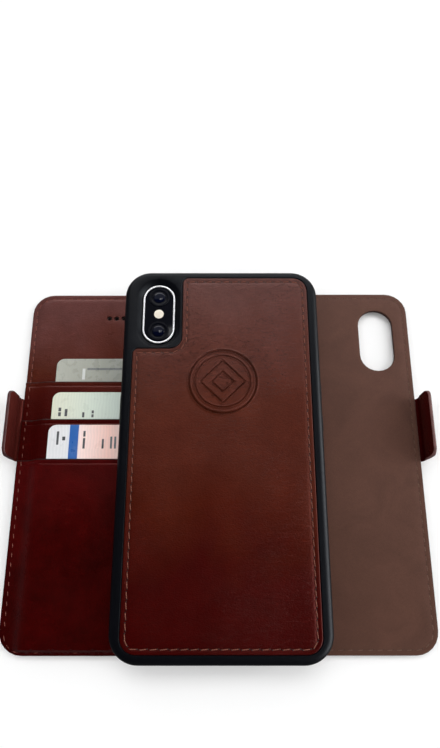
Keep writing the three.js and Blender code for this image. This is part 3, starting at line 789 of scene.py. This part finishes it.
def outer_skin(side):
    """One half of the outer leather, its edge turned up to meet the lining."""
    corners = folio_corners(side, 0)
    crease = SPINE_X + side * HINGE

    def top(x, y, inset):
        return SKIN - SHEET_GAP + (EDGE_LEVEL - SKIN) * (1 - smooth(HEM_OUTER, HEM_INNER, inset))

    def bottom(x, y, inset):
        groove = 0.2 * dent(x - crease, 0.9)
        seam = 0.32 * dent(inset - STITCH_INSET, 0.45) if abs(x - SPINE_X) > FLAT_FROM else 0
        return groove + seam

    holes = earpiece_holes() if side < 0 else [window_hole(WINDOW_FLARE)]
    name = "folio_skin_front" if side < 0 else "folio_skin_back"
    skin = slab(name, corners, top, bottom, [OUTER_FACE, EDGE], edge=0.15, under=0.45,
                rings=(0.5, HEM_OUTER, HEM_INNER), holes=holes, points=half_points(side, corners),
                step=1.2, flat_at=SPINE_X)
    paint_edges(skin, 0.12, EDGE_LEVEL + 1)
    bend_at_hinge(skin)
    return skin


def lining_levels(side):
    """Top and bottom heights of an inner sheet: cover, pressed crease and spine."""
    cover_top = FRONT_TOP if side < 0 else BACK_TOP
    cover_bottom = FRONT_BOARD_TOP if side < 0 else BACK_BOARD_TOP

    def top(x, y, inset):
        out = side * (x - SPINE_X)
        level = SPINE_TOP + (cover_top - SPINE_TOP) * smooth(HINGE + 0.4, HINGE + 3.2, out)
        groove = (level - SKIN - 0.65) * dent(out - HINGE, 1.15)
        seam = 0.16 * dent(inset - STITCH_INSET, 0.5) if out > FLAT_FROM else 0
        return level - groove - seam

    def bottom(x, y, inset):
        out = side * (x - SPINE_X)
        rise = (cover_bottom - SPINE_BOARD_TOP) * smooth(HINGE + 0.4, HINGE + 2.0, out)
        level = SPINE_BOARD_TOP + rise
        level -= (level - SKIN - 0.1) * dent(out - HINGE, 1.0)
        return min(level, EDGE_LEVEL + 0.02) if inset < 1.0 else level

    return top, bottom


def inner_sheet(side):
    """Glossy leather inside the front cover, or suede inside the back cover, out to mid-spine."""
    corners = folio_corners(side, 0.12)
    top, bottom = lining_levels(side)
    holes = earpiece_holes() if side < 0 else [window_hole()]
    name = "front_inner_leather" if side < 0 else "back_suede"
    looks = [SHINY_LEATHER, EDGE] if side < 0 else [SUEDE, SUEDE_EDGE]
    sheet = slab(name, corners, top, bottom, looks, edge=0.3, under=0.1,
                 rings=(0.9, 1.3, 1.7, STITCH_INSET, 2.3, 2.75), holes=holes,
                 points=half_points(side, corners), step=1.2, flat_at=SPINE_X)
    paint_edges(sheet, 0.9, (FRONT_TOP if side < 0 else BACK_TOP) - 0.18)
    bend_at_hinge(sheet)
    return sheet


def earpiece_shade_discs():
    """Small dark discs in the earpiece holes, as painted shade for the depth of the holes."""
    soft, thick = 0.03, 0.1
    for number, hole in enumerate(earpiece_holes(), 1):
        disc = slab(f"earpiece_shade_discs_{number}", [(x, y, radius - soft) for x, y, radius in hole],
                    lambda x, y, inset: EARPIECE_HOLE_SHADE_LEVEL + thick, lambda x, y, inset: EARPIECE_HOLE_SHADE_LEVEL,
                    [EARPIECE_HOLE_SHADE], edge=soft, under=soft)
        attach(disc, "front_cover")


earpiece_shade_discs()
front_skin, back_skin = outer_skin(-1), outer_skin(1)
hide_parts("front_outer_skin", "spine_outer_skin")
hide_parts("back_outer_skin")
front_inner, back_inner = inner_sheet(-1), inner_sheet(1)
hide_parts("front_lining", "spine_lining")
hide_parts("back_lining")


# ---------------------------------------------------------------- card pockets and cards
def pocket_lift(index, x, y):
    """How far a pocket front is lifted over its card at a place: 0 at its seams, 1 over the card."""
    root = POCKETS[index][1].x + POCKET_ROOT
    across = smooth(4.0, 10.2, x - LEFT_EDGE - SEAM_TURN) * smooth(0.5, 2.4, root - x)
    return across * smooth(0.9, 2.4, y - LOW_EDGE - SEAM_TURN)


def pocket_level(index, x, y):
    """Height of a pocket front's plain outer face at a place."""
    low, high = POCKETS[index]
    return low.z + POCKET_LEATHER + pocket_lift(index, x, y) * (high.z - POCKET_LEATHER - low.z)


def pocket_front(index):
    """A pocket's leather front: pressed down at its seams, lifted over its card, hemmed at the top."""
    high = POCKETS[index][1]
    fore, root = LEFT_EDGE + SEAM_TURN, high.x + POCKET_ROOT
    foot = LOW_EDGE + SEAM_TURN
    corners = box_corners(fore, root, foot, high.y, [COVER_RADIUS, 0.3, 0.4, 0.4])

    def top(x, y, inset):
        level = pocket_level(index, x, y)
        from_top = high.y - y
        hem = 0.22 * dent(from_top - 1.85, 0.32) - 0.03
        seam = 0.14 * dent(x - fore - STITCH_INSET, 0.5) + 0.14 * dent(y - foot - STITCH_INSET, 0.5)
        swell = 0.0
        if index == 2:
            plump = pocket_lift(index, x, y) * smooth(0, 26, from_top) * smooth(0, 26, y - foot)
            swell = 0.22 * plump * (0.6 + 0.4 * noise.noise(Vector((x, y, 3.1)) / 19))
        return level - hem - seam + swell

    def bottom(x, y, inset):
        return pocket_level(index, x, y) - POCKET_LEATHER

    spacing, count = 1.58, int((root - fore) / 1.6)
    hem_lines = [Vector((fore + 1.4 + k * spacing, high.y - drop))
                 for drop in (0.9, 1.2, 1.45, 1.65, 1.85, 2.05, 2.25, 2.6, 3.1) for k in range(count - 1)]
    edge = ring(corners, 0.8)
    foot_lines = [Vector((fore + k * spacing, foot + rise))
                  for rise in (0.9, 1.2, 1.6, 2.0, 2.4) for k in range(1, count)]
    foot_lines = [p for p in foot_lines if inside(p, edge)]
    plain = [p for p in grid(corners, spacing=1.3, margin=3.0) if p.y < high.y - 4.0]
    looks = [POCKET_FACE if index == 2 else SHINY_LEATHER, EDGE]
    front = slab(f"pocket_{index + 1}_front", corners, top, bottom, looks, edge=0.2, under=0.12,
                 rings=(0.42, 0.7), points=hem_lines + foot_lines + plain, step=1.3)
    # Dark edge paint on the cut edges; along the mouth it also covers a strip of the top face, as painted
    # shadow of the pocket's mouth.
    for face in front.data.polygons:
        if face.center.y > (high.y - 0.4) * MM or face.center.x < (fore + 0.3) * MM:
            face.material_index = 1
    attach(front, "front_cover")
    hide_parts(f"card_pocket_{index + 1}")


def card(index, material):
    """A bank card with softened edges."""
    low, high = CARDS[index]
    corners = box_corners(low.x, high.x, low.y, high.y, [3.2] * 4)
    made = slab(f"bank_card_{index + 1}", corners, lambda x, y, inset: high.z, lambda x, y, inset: low.z,
                [material], edge=0.1, under=0.1, rings=(0.6,), points=grid(corners, spacing=8, margin=2))
    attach(made, ("first_card", "second_card", "third_card")[index])
    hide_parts(f"card_{index + 1}")


def bars(colour, corner, rows):
    """Printed bars: rows of (from the left edge, width, from the top edge, length)."""
    left, top = corner
    return [(colour, left + x, left + x + wide, top - y - long, top - y) for x, wide, y, long in rows]


def card_looks():
    """The three printed faces. Print is left as plain bars."""
    left, right = CARDS[0][0].x, CARDS[0][1].x
    corners = [(left, high.y) for _, high in CARDS]
    silver_stops = [(0.0, srgb(172, 173, 162)), (0.35, srgb(150, 152, 140)),
                    (0.75, srgb(142, 145, 140)), (1.0, srgb(166, 168, 166))]
    silver_marks = bars(srgb(104, 108, 108), corners[0], [(13.0, 41.0, 4.2, 1.0)])
    silver_marks += bars(srgb(205, 208, 205), corners[0], [(11.0, 1.2, 4.5, 5.0)])
    cream_stops = [(0.0, srgb(222, 224, 202)), (0.3, srgb(210, 222, 208)), (0.6, srgb(196, 212, 204)),
                   (1.0, srgb(206, 216, 208))]
    cream_marks = bars(INK, corners[1], [
        (2.8, 1.1, 6.8, 1.6), (2.8, 1.1, 8.8, 1.7), (5.4, 1.1, 7.4, 3.1), (12.6, 0.9, 8.8, 2.2),
        (16.4, 0.9, 8.0, 1.3), (16.4, 0.9, 9.7, 1.3)])
    white_stops = [(0.0, srgb(228, 229, 230)), (0.14, srgb(228, 229, 232)), (0.2, srgb(196, 212, 236)),
                   (0.24, srgb(255, 228, 222)), (0.45, srgb(255, 208, 196)), (0.7, srgb(190, 196, 196)),
                   (1.0, srgb(170, 182, 186))]
    white_marks = bars(srgb(24, 92, 170), corners[2], [(8.6, 3.6, 0.0, 40.0)])
    white_marks += bars(INK, corners[2], [
        (3.5, 0.9, 2.8, 5.6), (5.8, 1.2, 5.0, 1.6), (14.1, 0.9, 2.6, 2.4), (14.1, 0.9, 5.6, 4.4),
        (21.7, 0.8, 6.0, 4.0)])
    white_marks += bars(srgb(96, 104, 108), corners[2], [(25.0, 0.8, 5.0, 5.0), (26.6, 0.8, 5.0, 5.0)])
    return (card_face("silver_card_face", silver_stops, left, right, silver_marks, 0.28),
            card_face("cream_card_face", cream_stops, left, right, cream_marks),
            card_face("white_card_face", white_stops, left, right, white_marks))


for pocket_index in range(len(POCKETS)):
    pocket_front(pocket_index)
for card_index, card_look in enumerate(card_looks()):
    card(card_index, card_look)


# ---------------------------------------------------------------- clasp tabs
TAB_ROOT_INSET = 2.2    # how far the tab reaches into the cover
TAB_LEVEL = 1.5         # height of its middle there
TAB_BEND = 1.3          # radius of the bend up
TAB_NECK = 0.9          # thickness below the magnet
TAB_RADIUS = 3.0        # of its upper corners
TAB_ROOT_RADIUS = 0.2   # of its hidden corners
TAB_TAPER = 0.6         # how much thinner its upper edge is


def clasp_tab(prefix, side):
    """A leather tab that comes out of a cover's edge, bends up and stands over its magnet."""
    outer_low, outer_high = span(f"{prefix}_tab_outer_leather")
    inner_low, inner_high = span(f"{prefix}_tab_inner_leather")
    low_x, high_x = min(outer_low.x, inner_low.x), max(outer_high.x, inner_high.x)
    stand_x, full = (low_x + high_x) / 2, high_x - low_x
    middle_y, half = (outer_low.y + outer_high.y) / 2, (outer_high.y - outer_low.y) / 2
    root_x = (LEFT_EDGE if side < 0 else RIGHT_EDGE) - side * TAB_ROOT_INSET
    flat = abs(stand_x - root_x) - TAB_BEND
    arc = TAB_BEND * math.pi / 2
    length = flat + arc + outer_high.z - TAB_LEVEL - TAB_BEND

    def path(u):
        """Place and outward direction of the tab's middle at a distance along it."""
        if u < flat:
            return root_x + side * u, TAB_LEVEL, 0.0, -1.0
        if u < flat + arc:
            turned_by = (u - flat) / TAB_BEND
            sine, cosine = math.sin(turned_by), math.cos(turned_by)
            x, z = stand_x - side * TAB_BEND * (1 - sine), TAB_LEVEL + TAB_BEND * (1 - cosine)
            return x, z, side * sine, -cosine
        return stand_x, TAB_LEVEL + TAB_BEND + u - flat - arc, side * 1.0, 0.0

    def shape(co):
        x, z, out_x, out_z = path(co.x)
        return Vector((x + out_x * co.z, middle_y + co.y, z + out_z * co.z))

    def thickness(u):
        thick = TAB_NECK + (full - TAB_NECK) * smooth(flat + arc + 0.6, flat + arc + 3.2, u)
        return thick - TAB_TAPER * smooth(length - 3.0, length - 0.4, u)

    def ridge(u):
        return 0.13 * dent(u - flat - arc - 1.1, 0.35) + 0.1 * dent(u - flat - arc - 2.3, 0.3)

    radii = [TAB_ROOT_RADIUS, TAB_RADIUS, TAB_RADIUS, TAB_ROOT_RADIUS]
    corners = box_corners(0, length, -half, half, radii)
    tab = slab(f"{prefix}_clasp_tab", corners,
               lambda x, y, inset: thickness(x) / 2 - ridge(x) * 0.6,
               lambda x, y, inset: -thickness(x) / 2 + ridge(x),
               [TAB_LIT_AND_SHADED_FACES[prefix], EDGE, TAB_RIM_HIGHLIGHTS[prefix]], edge=0.4, under=0.4, rings=(0.8,),
               points=grid(corners, spacing=0.6, margin=1.0), step=0.7, shape=shape, arc=8)
    # painted highlight: faces of the upper edge that face up or inwards take the lighter rim colour, those
    # that face outwards the dark edge paint
    for face in tab.data.polygons:
        if face.center.z > (TAB_LEVEL + 2 * TAB_BEND) * MM and abs(face.normal.x) < 0.9:
            face.material_index = 2 if face.normal.x * side < 0.55 else 1
    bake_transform(tab)
    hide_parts(f"{prefix}_tab_outer_leather", f"{prefix}_tab_inner_leather")


clasp_tab("front", -1)
clasp_tab("back", 1)


# ---------------------------------------------------------------- stitching of the folio
def front_height(x, y):
    """Height of the sewn margin of the front cover at a place."""
    for index in reversed(range(len(POCKETS))):
        if y < POCKETS[index][1].y - 0.4:
            return pocket_level(index, x, y) - 0.1
    in_top_row = y > HIGH_EDGE - 2 * STITCH_INSET
    return FRONT_TOP - (0.26 if in_top_row else 0.14)


def away_from_spine(x, y):
    """Whether a place is on a cover, clear of the crease."""
    return abs(x - SPINE_X) > HINGE + 3.6


LOW_SEAM_SHIFT = 0.75   # the front cover's lowest row is this much nearer its edge
UNDER_SEAM = 0.34       # height of the stitches on the underside
FRONT_SEAM = box_corners(LEFT_EDGE, SPINE_X, LOW_EDGE - LOW_SEAM_SHIFT, HIGH_EDGE,
                         [COVER_RADIUS, 0, 0, COVER_RADIUS])
stitches("front_stitches", FRONT_SEAM, STITCH_INSET, front_height, away_from_spine, THREAD,
         "front_cover")
stitches("back_stitches", folio_corners(1, 0), STITCH_INSET, lambda x, y: BACK_TOP - 0.2,
         away_from_spine, BROWN_THREAD, "back_cover", radius=0.18)
for cover_side, cover_body in ((-1, "front_cover"), (1, "back_cover")):
    stitches(f"{cover_body}_outer_stitches", folio_corners(cover_side, 0), STITCH_INSET,
             lambda x, y: UNDER_SEAM, away_from_spine, THREAD, cover_body, upside_down=True)


# ---------------------------------------------------------------- shell
def panel_corners(grow=0.0):
    """Outline of the shell's leather panel, with the notch that leaves the camera free."""
    left, right = PANEL_LOW.x - grow, PANEL_HIGH.x + grow
    low, high = PANEL_LOW.y - grow, PANEL_HIGH.y + grow
    edge_x, edge_y = NOTCH_RIGHT - grow, NOTCH_BOTTOM + grow
    radius = PANEL_RADIUS + grow
    return [(left, low, radius), (right, low, radius), (right, high, radius),
            (edge_x, high, 2.2), (edge_x, edge_y, 5.0), (left, edge_y, 2.2)]


ROUNDEL = Vector((SHELL_X + 0.6, SHELL_Y + 26.6))
ROUNDEL_RADIUS = 12.8
ROUNDEL_DEPTH = 0.55
RING_STEP, OUTER_DIAMOND, INNER_DIAMOND = 2.3, 8.6, 4.2
PANEL_SEAM = 1.75
BUTTONS = ("power", "volume_up", "volume_down")
RIDGE_PITCH = 1.5
CUT_CREASE = math.radians(30)


def pressed_line(distance, width):
    """Depth across one pressed line: a groove with a slightly raised lip on both sides."""
    return dent(distance, width) - 0.45 * dent(abs(distance) - 2.0 * width, 0.8 * width)


def roundel_depth(x, y):
    """Depth of the plain pressed mark: two rings and two diamonds."""
    offset = Vector((x, y)) - ROUNDEL
    away = offset.length
    if away > ROUNDEL_RADIUS + 2:
        return 0.0
    past_ring = away - ROUNDEL_RADIUS
    diamond = abs(offset.x) + abs(offset.y)
    depth = pressed_line(past_ring, 0.3) + 0.8 * pressed_line(past_ring + RING_STEP, 0.25)
    depth += pressed_line(diamond - OUTER_DIAMOND, 0.34) + pressed_line(diamond - INNER_DIAMOND, 0.34)
    return min(depth, 1.0)


def roundel_points():
    """Close rings of points under the pressed mark."""
    points = [ROUNDEL.copy()]
    radius = 0.45
    while radius < ROUNDEL_RADIUS + 1.6:
        count = max(12, int(2 * math.pi * radius / 0.5))
        for k in range(count):
            angle = 2 * math.pi * k / count
            points.append(ROUNDEL + Vector((math.cos(angle), math.sin(angle))) * radius)
        radius += 0.3
    return points


def shell_panel():
    """The leather panel: softly padded, sewn round its edge, with the pressed mark."""
    corners = panel_corners()

    def top(x, y, inset):
        seam = 0.26 * dent(inset - PANEL_SEAM, 0.5)
        pad = 0.1 * smooth(PANEL_SEAM, 5.0, inset)
        wave = 0.05 * noise.noise(Vector((x, y, 0)) / 23) * smooth(2, 5, inset)
        return PANEL_HIGH.z - 0.06 - seam + pad + wave - ROUNDEL_DEPTH * roundel_depth(x, y)

    inner = [p for p in grid(corners, spacing=1.5, margin=5.2) if (p - ROUNDEL).length > ROUNDEL_RADIUS + 2]
    panel = slab("shell_leather", corners, top, lambda x, y, inset: PANEL_LOW.z,
                 [SHELL_FACE, EDGE], edge=0.35, under=0.1,
                 rings=(0.7, 1.2, 1.5, PANEL_SEAM, 2.0, 2.4, 3.2, 4.2),
                 points=inner + roundel_points(), step=1.5, crease=55)
    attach(panel, "shell")
    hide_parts("shell_leather_panel")


def block(name, low, high, radius):
    """A block that cuts through the shell's wall, rounded along the way that it cuts."""
    build = bmesh.new()
    size, centre = high - low, (high + low) / 2
    for vert in bmesh.ops.create_cube(build, size=1.0)["verts"]:
        vert.co = Vector((vert.co.x * size.x, vert.co.y * size.y, vert.co.z * size.z)) + centre
    through = 1 if low.y < SHELL_LOW.y else 0
    edges = [e for e in build.edges if abs((e.verts[0].co - e.verts[1].co)[through]) > HAIR]
    bmesh.ops.bevel(build, geom=edges, offset=radius, segments=4, affect="EDGES", profile=0.5)
    return make_object(name, build, [])


def cut_blocks(piece, blocks):
    """Cuts blocks out of a piece one by one, and marks its sharp edges again.

    blocks are (lowest corner, highest corner, radius).
    """
    for k, (low, high, radius) in enumerate(blocks):
        cutter = block(f"cutter_{k}", low, high, radius)
        boolean = piece.modifiers.new("cut", "BOOLEAN")
        boolean.object = cutter
        boolean.solver = "EXACT"
        bpy.context.view_layer.update()
        evaluated = piece.evaluated_get(bpy.context.evaluated_depsgraph_get())
        mesh = bpy.data.meshes.new_from_object(evaluated)
        piece.modifiers.clear()
        old = piece.data
        piece.data = mesh
        bpy.data.meshes.remove(old)
        bpy.data.objects.remove(cutter)
    build = bmesh.new()
    build.from_mesh(piece.data)
    bmesh.ops.dissolve_degenerate(build, edges=build.edges, dist=1e-6)
    for edge in build.edges:
        edge.smooth = edge.calc_face_angle(0) < CUT_CREASE
    build.to_mesh(piece.data)
    build.free()


def bumper():
    """The rubber bumper: rounded rim, lip round the screen, deck with a funnel round the camera."""
    corners = box_corners(SHELL_LOW.x, SHELL_HIGH.x, SHELL_LOW.y, SHELL_HIGH.y, [SHELL_RADIUS] * 4)
    camera = pill(CAMERA_X, CAMERA_Y, RING_HIGH.x - RING_LOW.x + 0.7, RING_HIGH.y - RING_LOW.y + 0.7)
    panel = panel_corners(0.12)
    base = SHELL_LOW.z
    lip, wall, ceiling, deck = 4.1, 2.6, 9.25, 11.48
    bed = PANEL_LOW.z - 0.1 - base
    build = bmesh.new()

    def joined(outline, profile):
        """Joined loops of an outline at (inset, height over the shell's lowest face)."""
        loops = [[build.verts.new((p.x, p.y, base + level)) for p in ring(outline, inset, arc=14, step=3.0)]
                 for inset, level in profile]
        join_stack(build, loops)
        return loops[0], loops[-1]

    ceiling_edge, deck_edge = joined(corners, [
        (wall, ceiling), (wall, 1.35), (lip, 1.35), (lip, 0.75), (lip - 0.35, 0.3), (lip - 0.9, 0.05),
        (2.3, 0.0), (1.5, 0.2), (0.85, 0.7), (0.38, 1.5), (0.1, 2.6), (0.0, 4.0), (0.0, 7.4),
        (0.08, 8.6), (0.32, 9.6), (0.75, 10.45), (1.35, 11.05), (2.1, 11.4), (2.8, deck)])
    funnel_foot, funnel_edge = joined(camera, [
        (0.0, ceiling), (0.0, 10.25), (-0.12, 10.4), (-1.5, 11.25), (-1.78, 11.42), (-1.95, deck)])
    bed_edge, rim = joined(panel, [(0.0, bed), (0.0, deck - 0.25), (-0.2, deck)])
    fill(build, [deck_edge], [rim, funnel_edge], [], lambda x, y: base + deck)
    fill(build, [bed_edge], [], [], lambda x, y: base + bed)
    fill(build, [ceiling_edge], [funnel_foot], [], lambda x, y: base + ceiling)
    body = make_object("bumper_shell", build, [RUBBER], crease=35)
    cut_blocks(body, bumper_cuts(base))
    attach(body, "shell")
    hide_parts("shell_bumper")


def bumper_cuts(base):
    """The windows of the side buttons, the mute slot, the port and the speaker slots."""
    grow = Vector((4, 0.28, 0.28))
    blocks = []
    for button in BUTTONS:
        low, high = span(f"{button}_button_cover")
        blocks.append((low - grow, high + grow, 1.6))
    middle = base + 5.4
    outwards, inwards = 3, 4
    blocks.append((Vector((SHELL_HIGH.x - inwards, SHELL_Y + 34.5, middle - 2.2)),
                   Vector((SHELL_HIGH.x + outwards, SHELL_Y + 43.5, middle + 2.2)), 1.8))
    for x, half, tall in ((0, 6.75, 2.5), (-17, 5.25, 1.5), (17, 5.25, 1.5)):
        blocks.append((Vector((SHELL_X + x - half, SHELL_LOW.y - outwards, middle - tall)),
                       Vector((SHELL_X + x + half, SHELL_LOW.y + inwards, middle + tall)), tall * 0.85))
    return blocks


def button_cover(button):
    """A rubber button cover: a domed pad with finger ridges across it."""
    low, high = span(f"{button}_button_cover")
    side = 1 if high.x > SHELL_X else -1
    half, tall = (high.y - low.y) / 2, (high.z - low.z) / 2
    depth = high.x - low.x
    middle = (low + high) / 2

    def top(x, y, inset):
        ridges = 0.12 * (0.5 + 0.5 * math.cos(2 * math.pi * x / RIDGE_PITCH)) * smooth(0.4, 1.0, inset)
        return depth - 0.15 + ridges - 0.12 * smooth(half - 3, half, abs(x))

    def shape(co):
        x = (low.x + co.z) if side > 0 else (high.x - co.z)
        return Vector((x, middle.y + co.x, middle.z + co.y))

    corners = box_corners(-half, half, -tall, tall, [1.55] * 4)
    margin, fine, coarse = 0.9, 0.25, 0.45
    points = [Vector((-half + margin + k * fine, -tall + margin + j * coarse))
              for k in range(int((2 * half - 2 * margin) / fine))
              for j in range(int((2 * tall - 2 * margin) / coarse) + 1)]
    made = slab(f"{button}_button_pad", corners, top, lambda x, y, inset: 0.0, [RUBBER],
                edge=0.45, under=0.1, points=points, step=0.5, shape=shape)
    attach(made, f"{button}_button")
    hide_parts(f"{button}_button_cover")


shell_panel()
bumper()
for button_name in BUTTONS:
    button_cover(button_name)
stitches("shell_stitches", panel_corners(), PANEL_SEAM, lambda x, y: PANEL_HIGH.z - 0.2,
         lambda x, y: True, SHELL_THREAD, "shell", pitch=3.4, radius=0.19)


# ---------------------------------------------------------------- the phone's camera
def camera_ring():
    """The bright metal ring round the lenses, with a rounded crown; its shoulders and walls take the dark
    lens colour as painted shade.
    """
    outline = pill(CAMERA_X, CAMERA_Y, RING_HIGH.x - RING_LOW.x, RING_HIGH.y - RING_LOW.y)
    build = bmesh.new()
    width, rise, arcs = 0.9, 0.32, 8
    top, low = RING_HIGH.z, RING_LOW.z
    turns = [math.pi * k / arcs for k in range(arcs + 1)]
    crown = [(width / 2 - width / 2 * math.cos(turn), top - rise + rise * math.sin(turn)) for turn in turns]
    loops = [[build.verts.new((p.x, p.y, level)) for p in ring(outline, inset, arc=16, step=3.0)]
             for inset, level in [(0.0, low), *crown, (width, low)]]
    # painted shade: only the top of the crown is metal; its shoulders, walls and foot take the dark lens
    # colour
    for k, (first, second) in enumerate(zip(loops, loops[1:] + loops[:1])):
        join_loops(build, first, second, 0 if 2 < k < 7 else 1)
    made = make_object("camera_ring", build, [BRIGHT_METAL, LENS_BEZEL_AND_SHADE], crease=60)
    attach(made, "shell")
    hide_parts("phone_camera_ring")


def turned(name, node, profile, looks, around=40):
    """A turned piece about a node's upright axis; profile is (radius, height, material index)."""
    low, high = span(node)
    centre = (low + high) / 2
    build = bmesh.new()
    loops = []
    for radius, level, _ in profile:
        loops.append([build.verts.new((
            centre.x + radius * math.cos(2 * math.pi * k / around),
            centre.y + radius * math.sin(2 * math.pi * k / around), level)) for k in range(around)])
    for first, second, (_, _, look) in zip(loops, loops[1:], profile):
        join_loops(build, first, second, look)
    build.faces.new(loops[0])
    build.faces.new(list(reversed(loops[-1]))).material_index = profile[-1][2]
    made = make_object(name, build, looks, crease=35)
    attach(made, "shell")
    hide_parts(node)


def lens(name, node):
    """A camera lens: dark bezel steps down to a domed, coated front element."""
    low, high = span(node)
    rim, base, top = (high.x - low.x) / 2, low.z, high.z
    dome = rim - 1.85
    profile = [
        (rim, base, 1), (rim, top - 0.08, 1), (rim - 0.1, top, 1), (rim - 0.75, top, 1),
        (rim - 0.95, top - 0.14, 1), (rim - 1.7, top - 0.16, 1), (dome, top - 0.1, 0)]
    profile += [(dome * math.cos(turn), top - 0.1 + 0.28 * math.sin(turn), 0)
                for turn in (0.25, 0.5, 0.8, 1.1, 1.35)]
    turned(name, node, profile, [LENS_GLASS, LENS_BEZEL_AND_SHADE])


def flash_lamp():
    """The round flash: a pale lens with two fine steps."""
    low, high = span("phone_flash")
    rim, base, top = (high.x - low.x) / 2, low.z, high.z
    profile = [
        (rim, base, 0), (rim, top - 0.05, 0), (rim - 0.08, top, 0), (rim - 0.5, top + 0.04, 0),
        (rim - 0.55, top - 0.02, 0), (rim - 1.0, top + 0.05, 0), (rim - 1.05, top - 0.01, 0),
        (0.35, top + 0.06, 0)]
    turned("camera_flash", "phone_flash", profile, [FLASH_LENS], 28)


camera_ring()
lens("upper_lens", "phone_lens_upper")
lens("lower_lens", "phone_lens_lower")
flash_lamp()


# ---------------------------------------------------------------- floor, light and camera
def floor():
    """A plain pale floor, which fades to white far from the object."""
    n = Nodes("pale_floor")
    tone = n.ramp(n.noise(3, 2), [(0.0, (0.84, 0.84, 0.84)), (1.0, (0.86, 0.86, 0.86))])
    away = n.add("VectorMath", {0: n.place}, operation="LENGTH").outputs["Value"]
    n.set(Base_Color=tone, Roughness=0.9, Specular_IOR_Level=0.1, Emission_Color=(1, 1, 1, 1),
          Emission_Strength=n.remap(away, 0.4, 1.5, 0.09, 1.0))
    bpy.ops.mesh.primitive_plane_add(size=14, location=(0, 0, -0.0002))
    plane = bpy.context.object
    plane.name = "floor"
    plane.data.materials.append(n.material)
    plane.visible_glossy = False


def softbox(name, place, size, strength, fills=True, mirrored=True):
    """A rectangular light turned towards the object; strength is its brightness as a surface.

    fills says whether it lights matte surfaces, and mirrored whether glossy ones reflect it.
    """
    light = bpy.data.lights.new(name, "AREA")
    light.shape = "RECTANGLE"
    light.size, light.size_y = size
    light.energy = strength * math.pi * size[0] * size[1]
    lamp = bpy.data.objects.new(name, light)
    lamp.location = place
    lamp.rotation_euler = (-Vector(place)).to_track_quat("-Z", "Y").to_euler()
    lamp.visible_diffuse, lamp.visible_glossy = fills, mirrored
    bpy.context.scene.collection.objects.link(lamp)


def background(tree, colour, strength):
    """One flat background of the surroundings."""
    node = tree.nodes.new("ShaderNodeBackground")
    node.inputs["Color"].default_value = (*colour, 1)
    node.inputs["Strength"].default_value = strength
    return node


def surroundings():
    """White behind the object, even white fill on matte surfaces, and a dim room in reflections."""
    world = bpy.data.worlds.new("studio")
    bpy.context.scene.world = world
    world.use_nodes = True
    tree = world.node_tree
    tree.nodes.clear()
    direction = tree.nodes.new("ShaderNodeTexCoord").outputs["Generated"]
    split = tree.nodes.new("ShaderNodeSeparateXYZ")
    height = tree.nodes.new("ShaderNodeMapRange")
    room_tones = {"From Min": 0.1, "From Max": 0.6, "To Min": 0.14, "To Max": 0.04}
    for key, value in room_tones.items():
        height.inputs[key].default_value = value
    white = background(tree, (1, 1, 1), 1.0)
    fill_light = background(tree, (1, 1, 1), 0.32)
    room = background(tree, (0.92, 0.96, 1), 1.0)
    path = tree.nodes.new("ShaderNodeLightPath")
    reflected = tree.nodes.new("ShaderNodeMixShader")
    seen = tree.nodes.new("ShaderNodeMixShader")
    output = tree.nodes.new("ShaderNodeOutputWorld")
    tree.links.new(direction, split.inputs[0])
    tree.links.new(split.outputs["Z"], height.inputs["Value"])
    tree.links.new(height.outputs["Result"], room.inputs["Strength"])
    tree.links.new(path.outputs["Is Glossy Ray"], reflected.inputs[0])
    tree.links.new(fill_light.outputs[0], reflected.inputs[1])
    tree.links.new(room.outputs[0], reflected.inputs[2])
    tree.links.new(path.outputs["Is Camera Ray"], seen.inputs[0])
    tree.links.new(reflected.outputs[0], seen.inputs[1])
    tree.links.new(white.outputs[0], seen.inputs[2])
    tree.links.new(seen.outputs[0], output.inputs["Surface"])


def lights():
    """A high soft top light, side and front fills, and reflections along the top and right edges."""
    softbox("top_light", (0, 0.52, 1.2), (1.2, 0.34), 3.9, mirrored=False)
    softbox("key_light", (0, 1.25, 0.64), (1.5, 0.5), 5.2, fills=False)
    softbox("veil_light", (0, 0.85, 0.95), (1.4, 0.45), 0.85)
    softbox("left_light", (-1.2, -0.1, 0.75), (0.8, 1.2), 2.2, mirrored=False)
    softbox("right_light", (1.2, 0.0, 0.75), (0.8, 1.3), 3.8, mirrored=False)
    softbox("right_strip", (1.2, -0.1, 0.42), (1.8, 1.0), 10.0, fills=False)
    softbox("front_light", (0, -1.3, 0.75), (1.4, 0.6), 0.9, mirrored=False)
    softbox("left_spark", (-0.12, 0.62, 1.0), (0.05, 0.14), 14.0)
    softbox("right_spark", (-0.02, 0.62, 1.0), (0.05, 0.14), 14.0)


def main_camera():
    """The camera of the photograph: close, and nearly straight down."""
    frame_height = 748
    elevation = math.radians(78.28)
    data = bpy.data.cameras.new("main_camera")
    data.sensor_width = 36
    data.lens = 413.2 / frame_height * data.sensor_width
    data.shift_y = 118.4 / frame_height
    camera = bpy.data.objects.new("main_camera", data)
    camera.location = ((MIDDLE + 0.29) * MM, (MIDDLE_Y - 47.08) * MM, 0.16267)
    camera.rotation_euler = (math.pi / 2 - elevation, 0, 0)
    data.clip_start = 0.01
    bpy.context.scene.collection.objects.link(camera)
    bpy.context.scene.camera = camera


floor()
surroundings()
lights()
main_camera()
bpy.context.scene.view_settings.view_transform = "Standard"
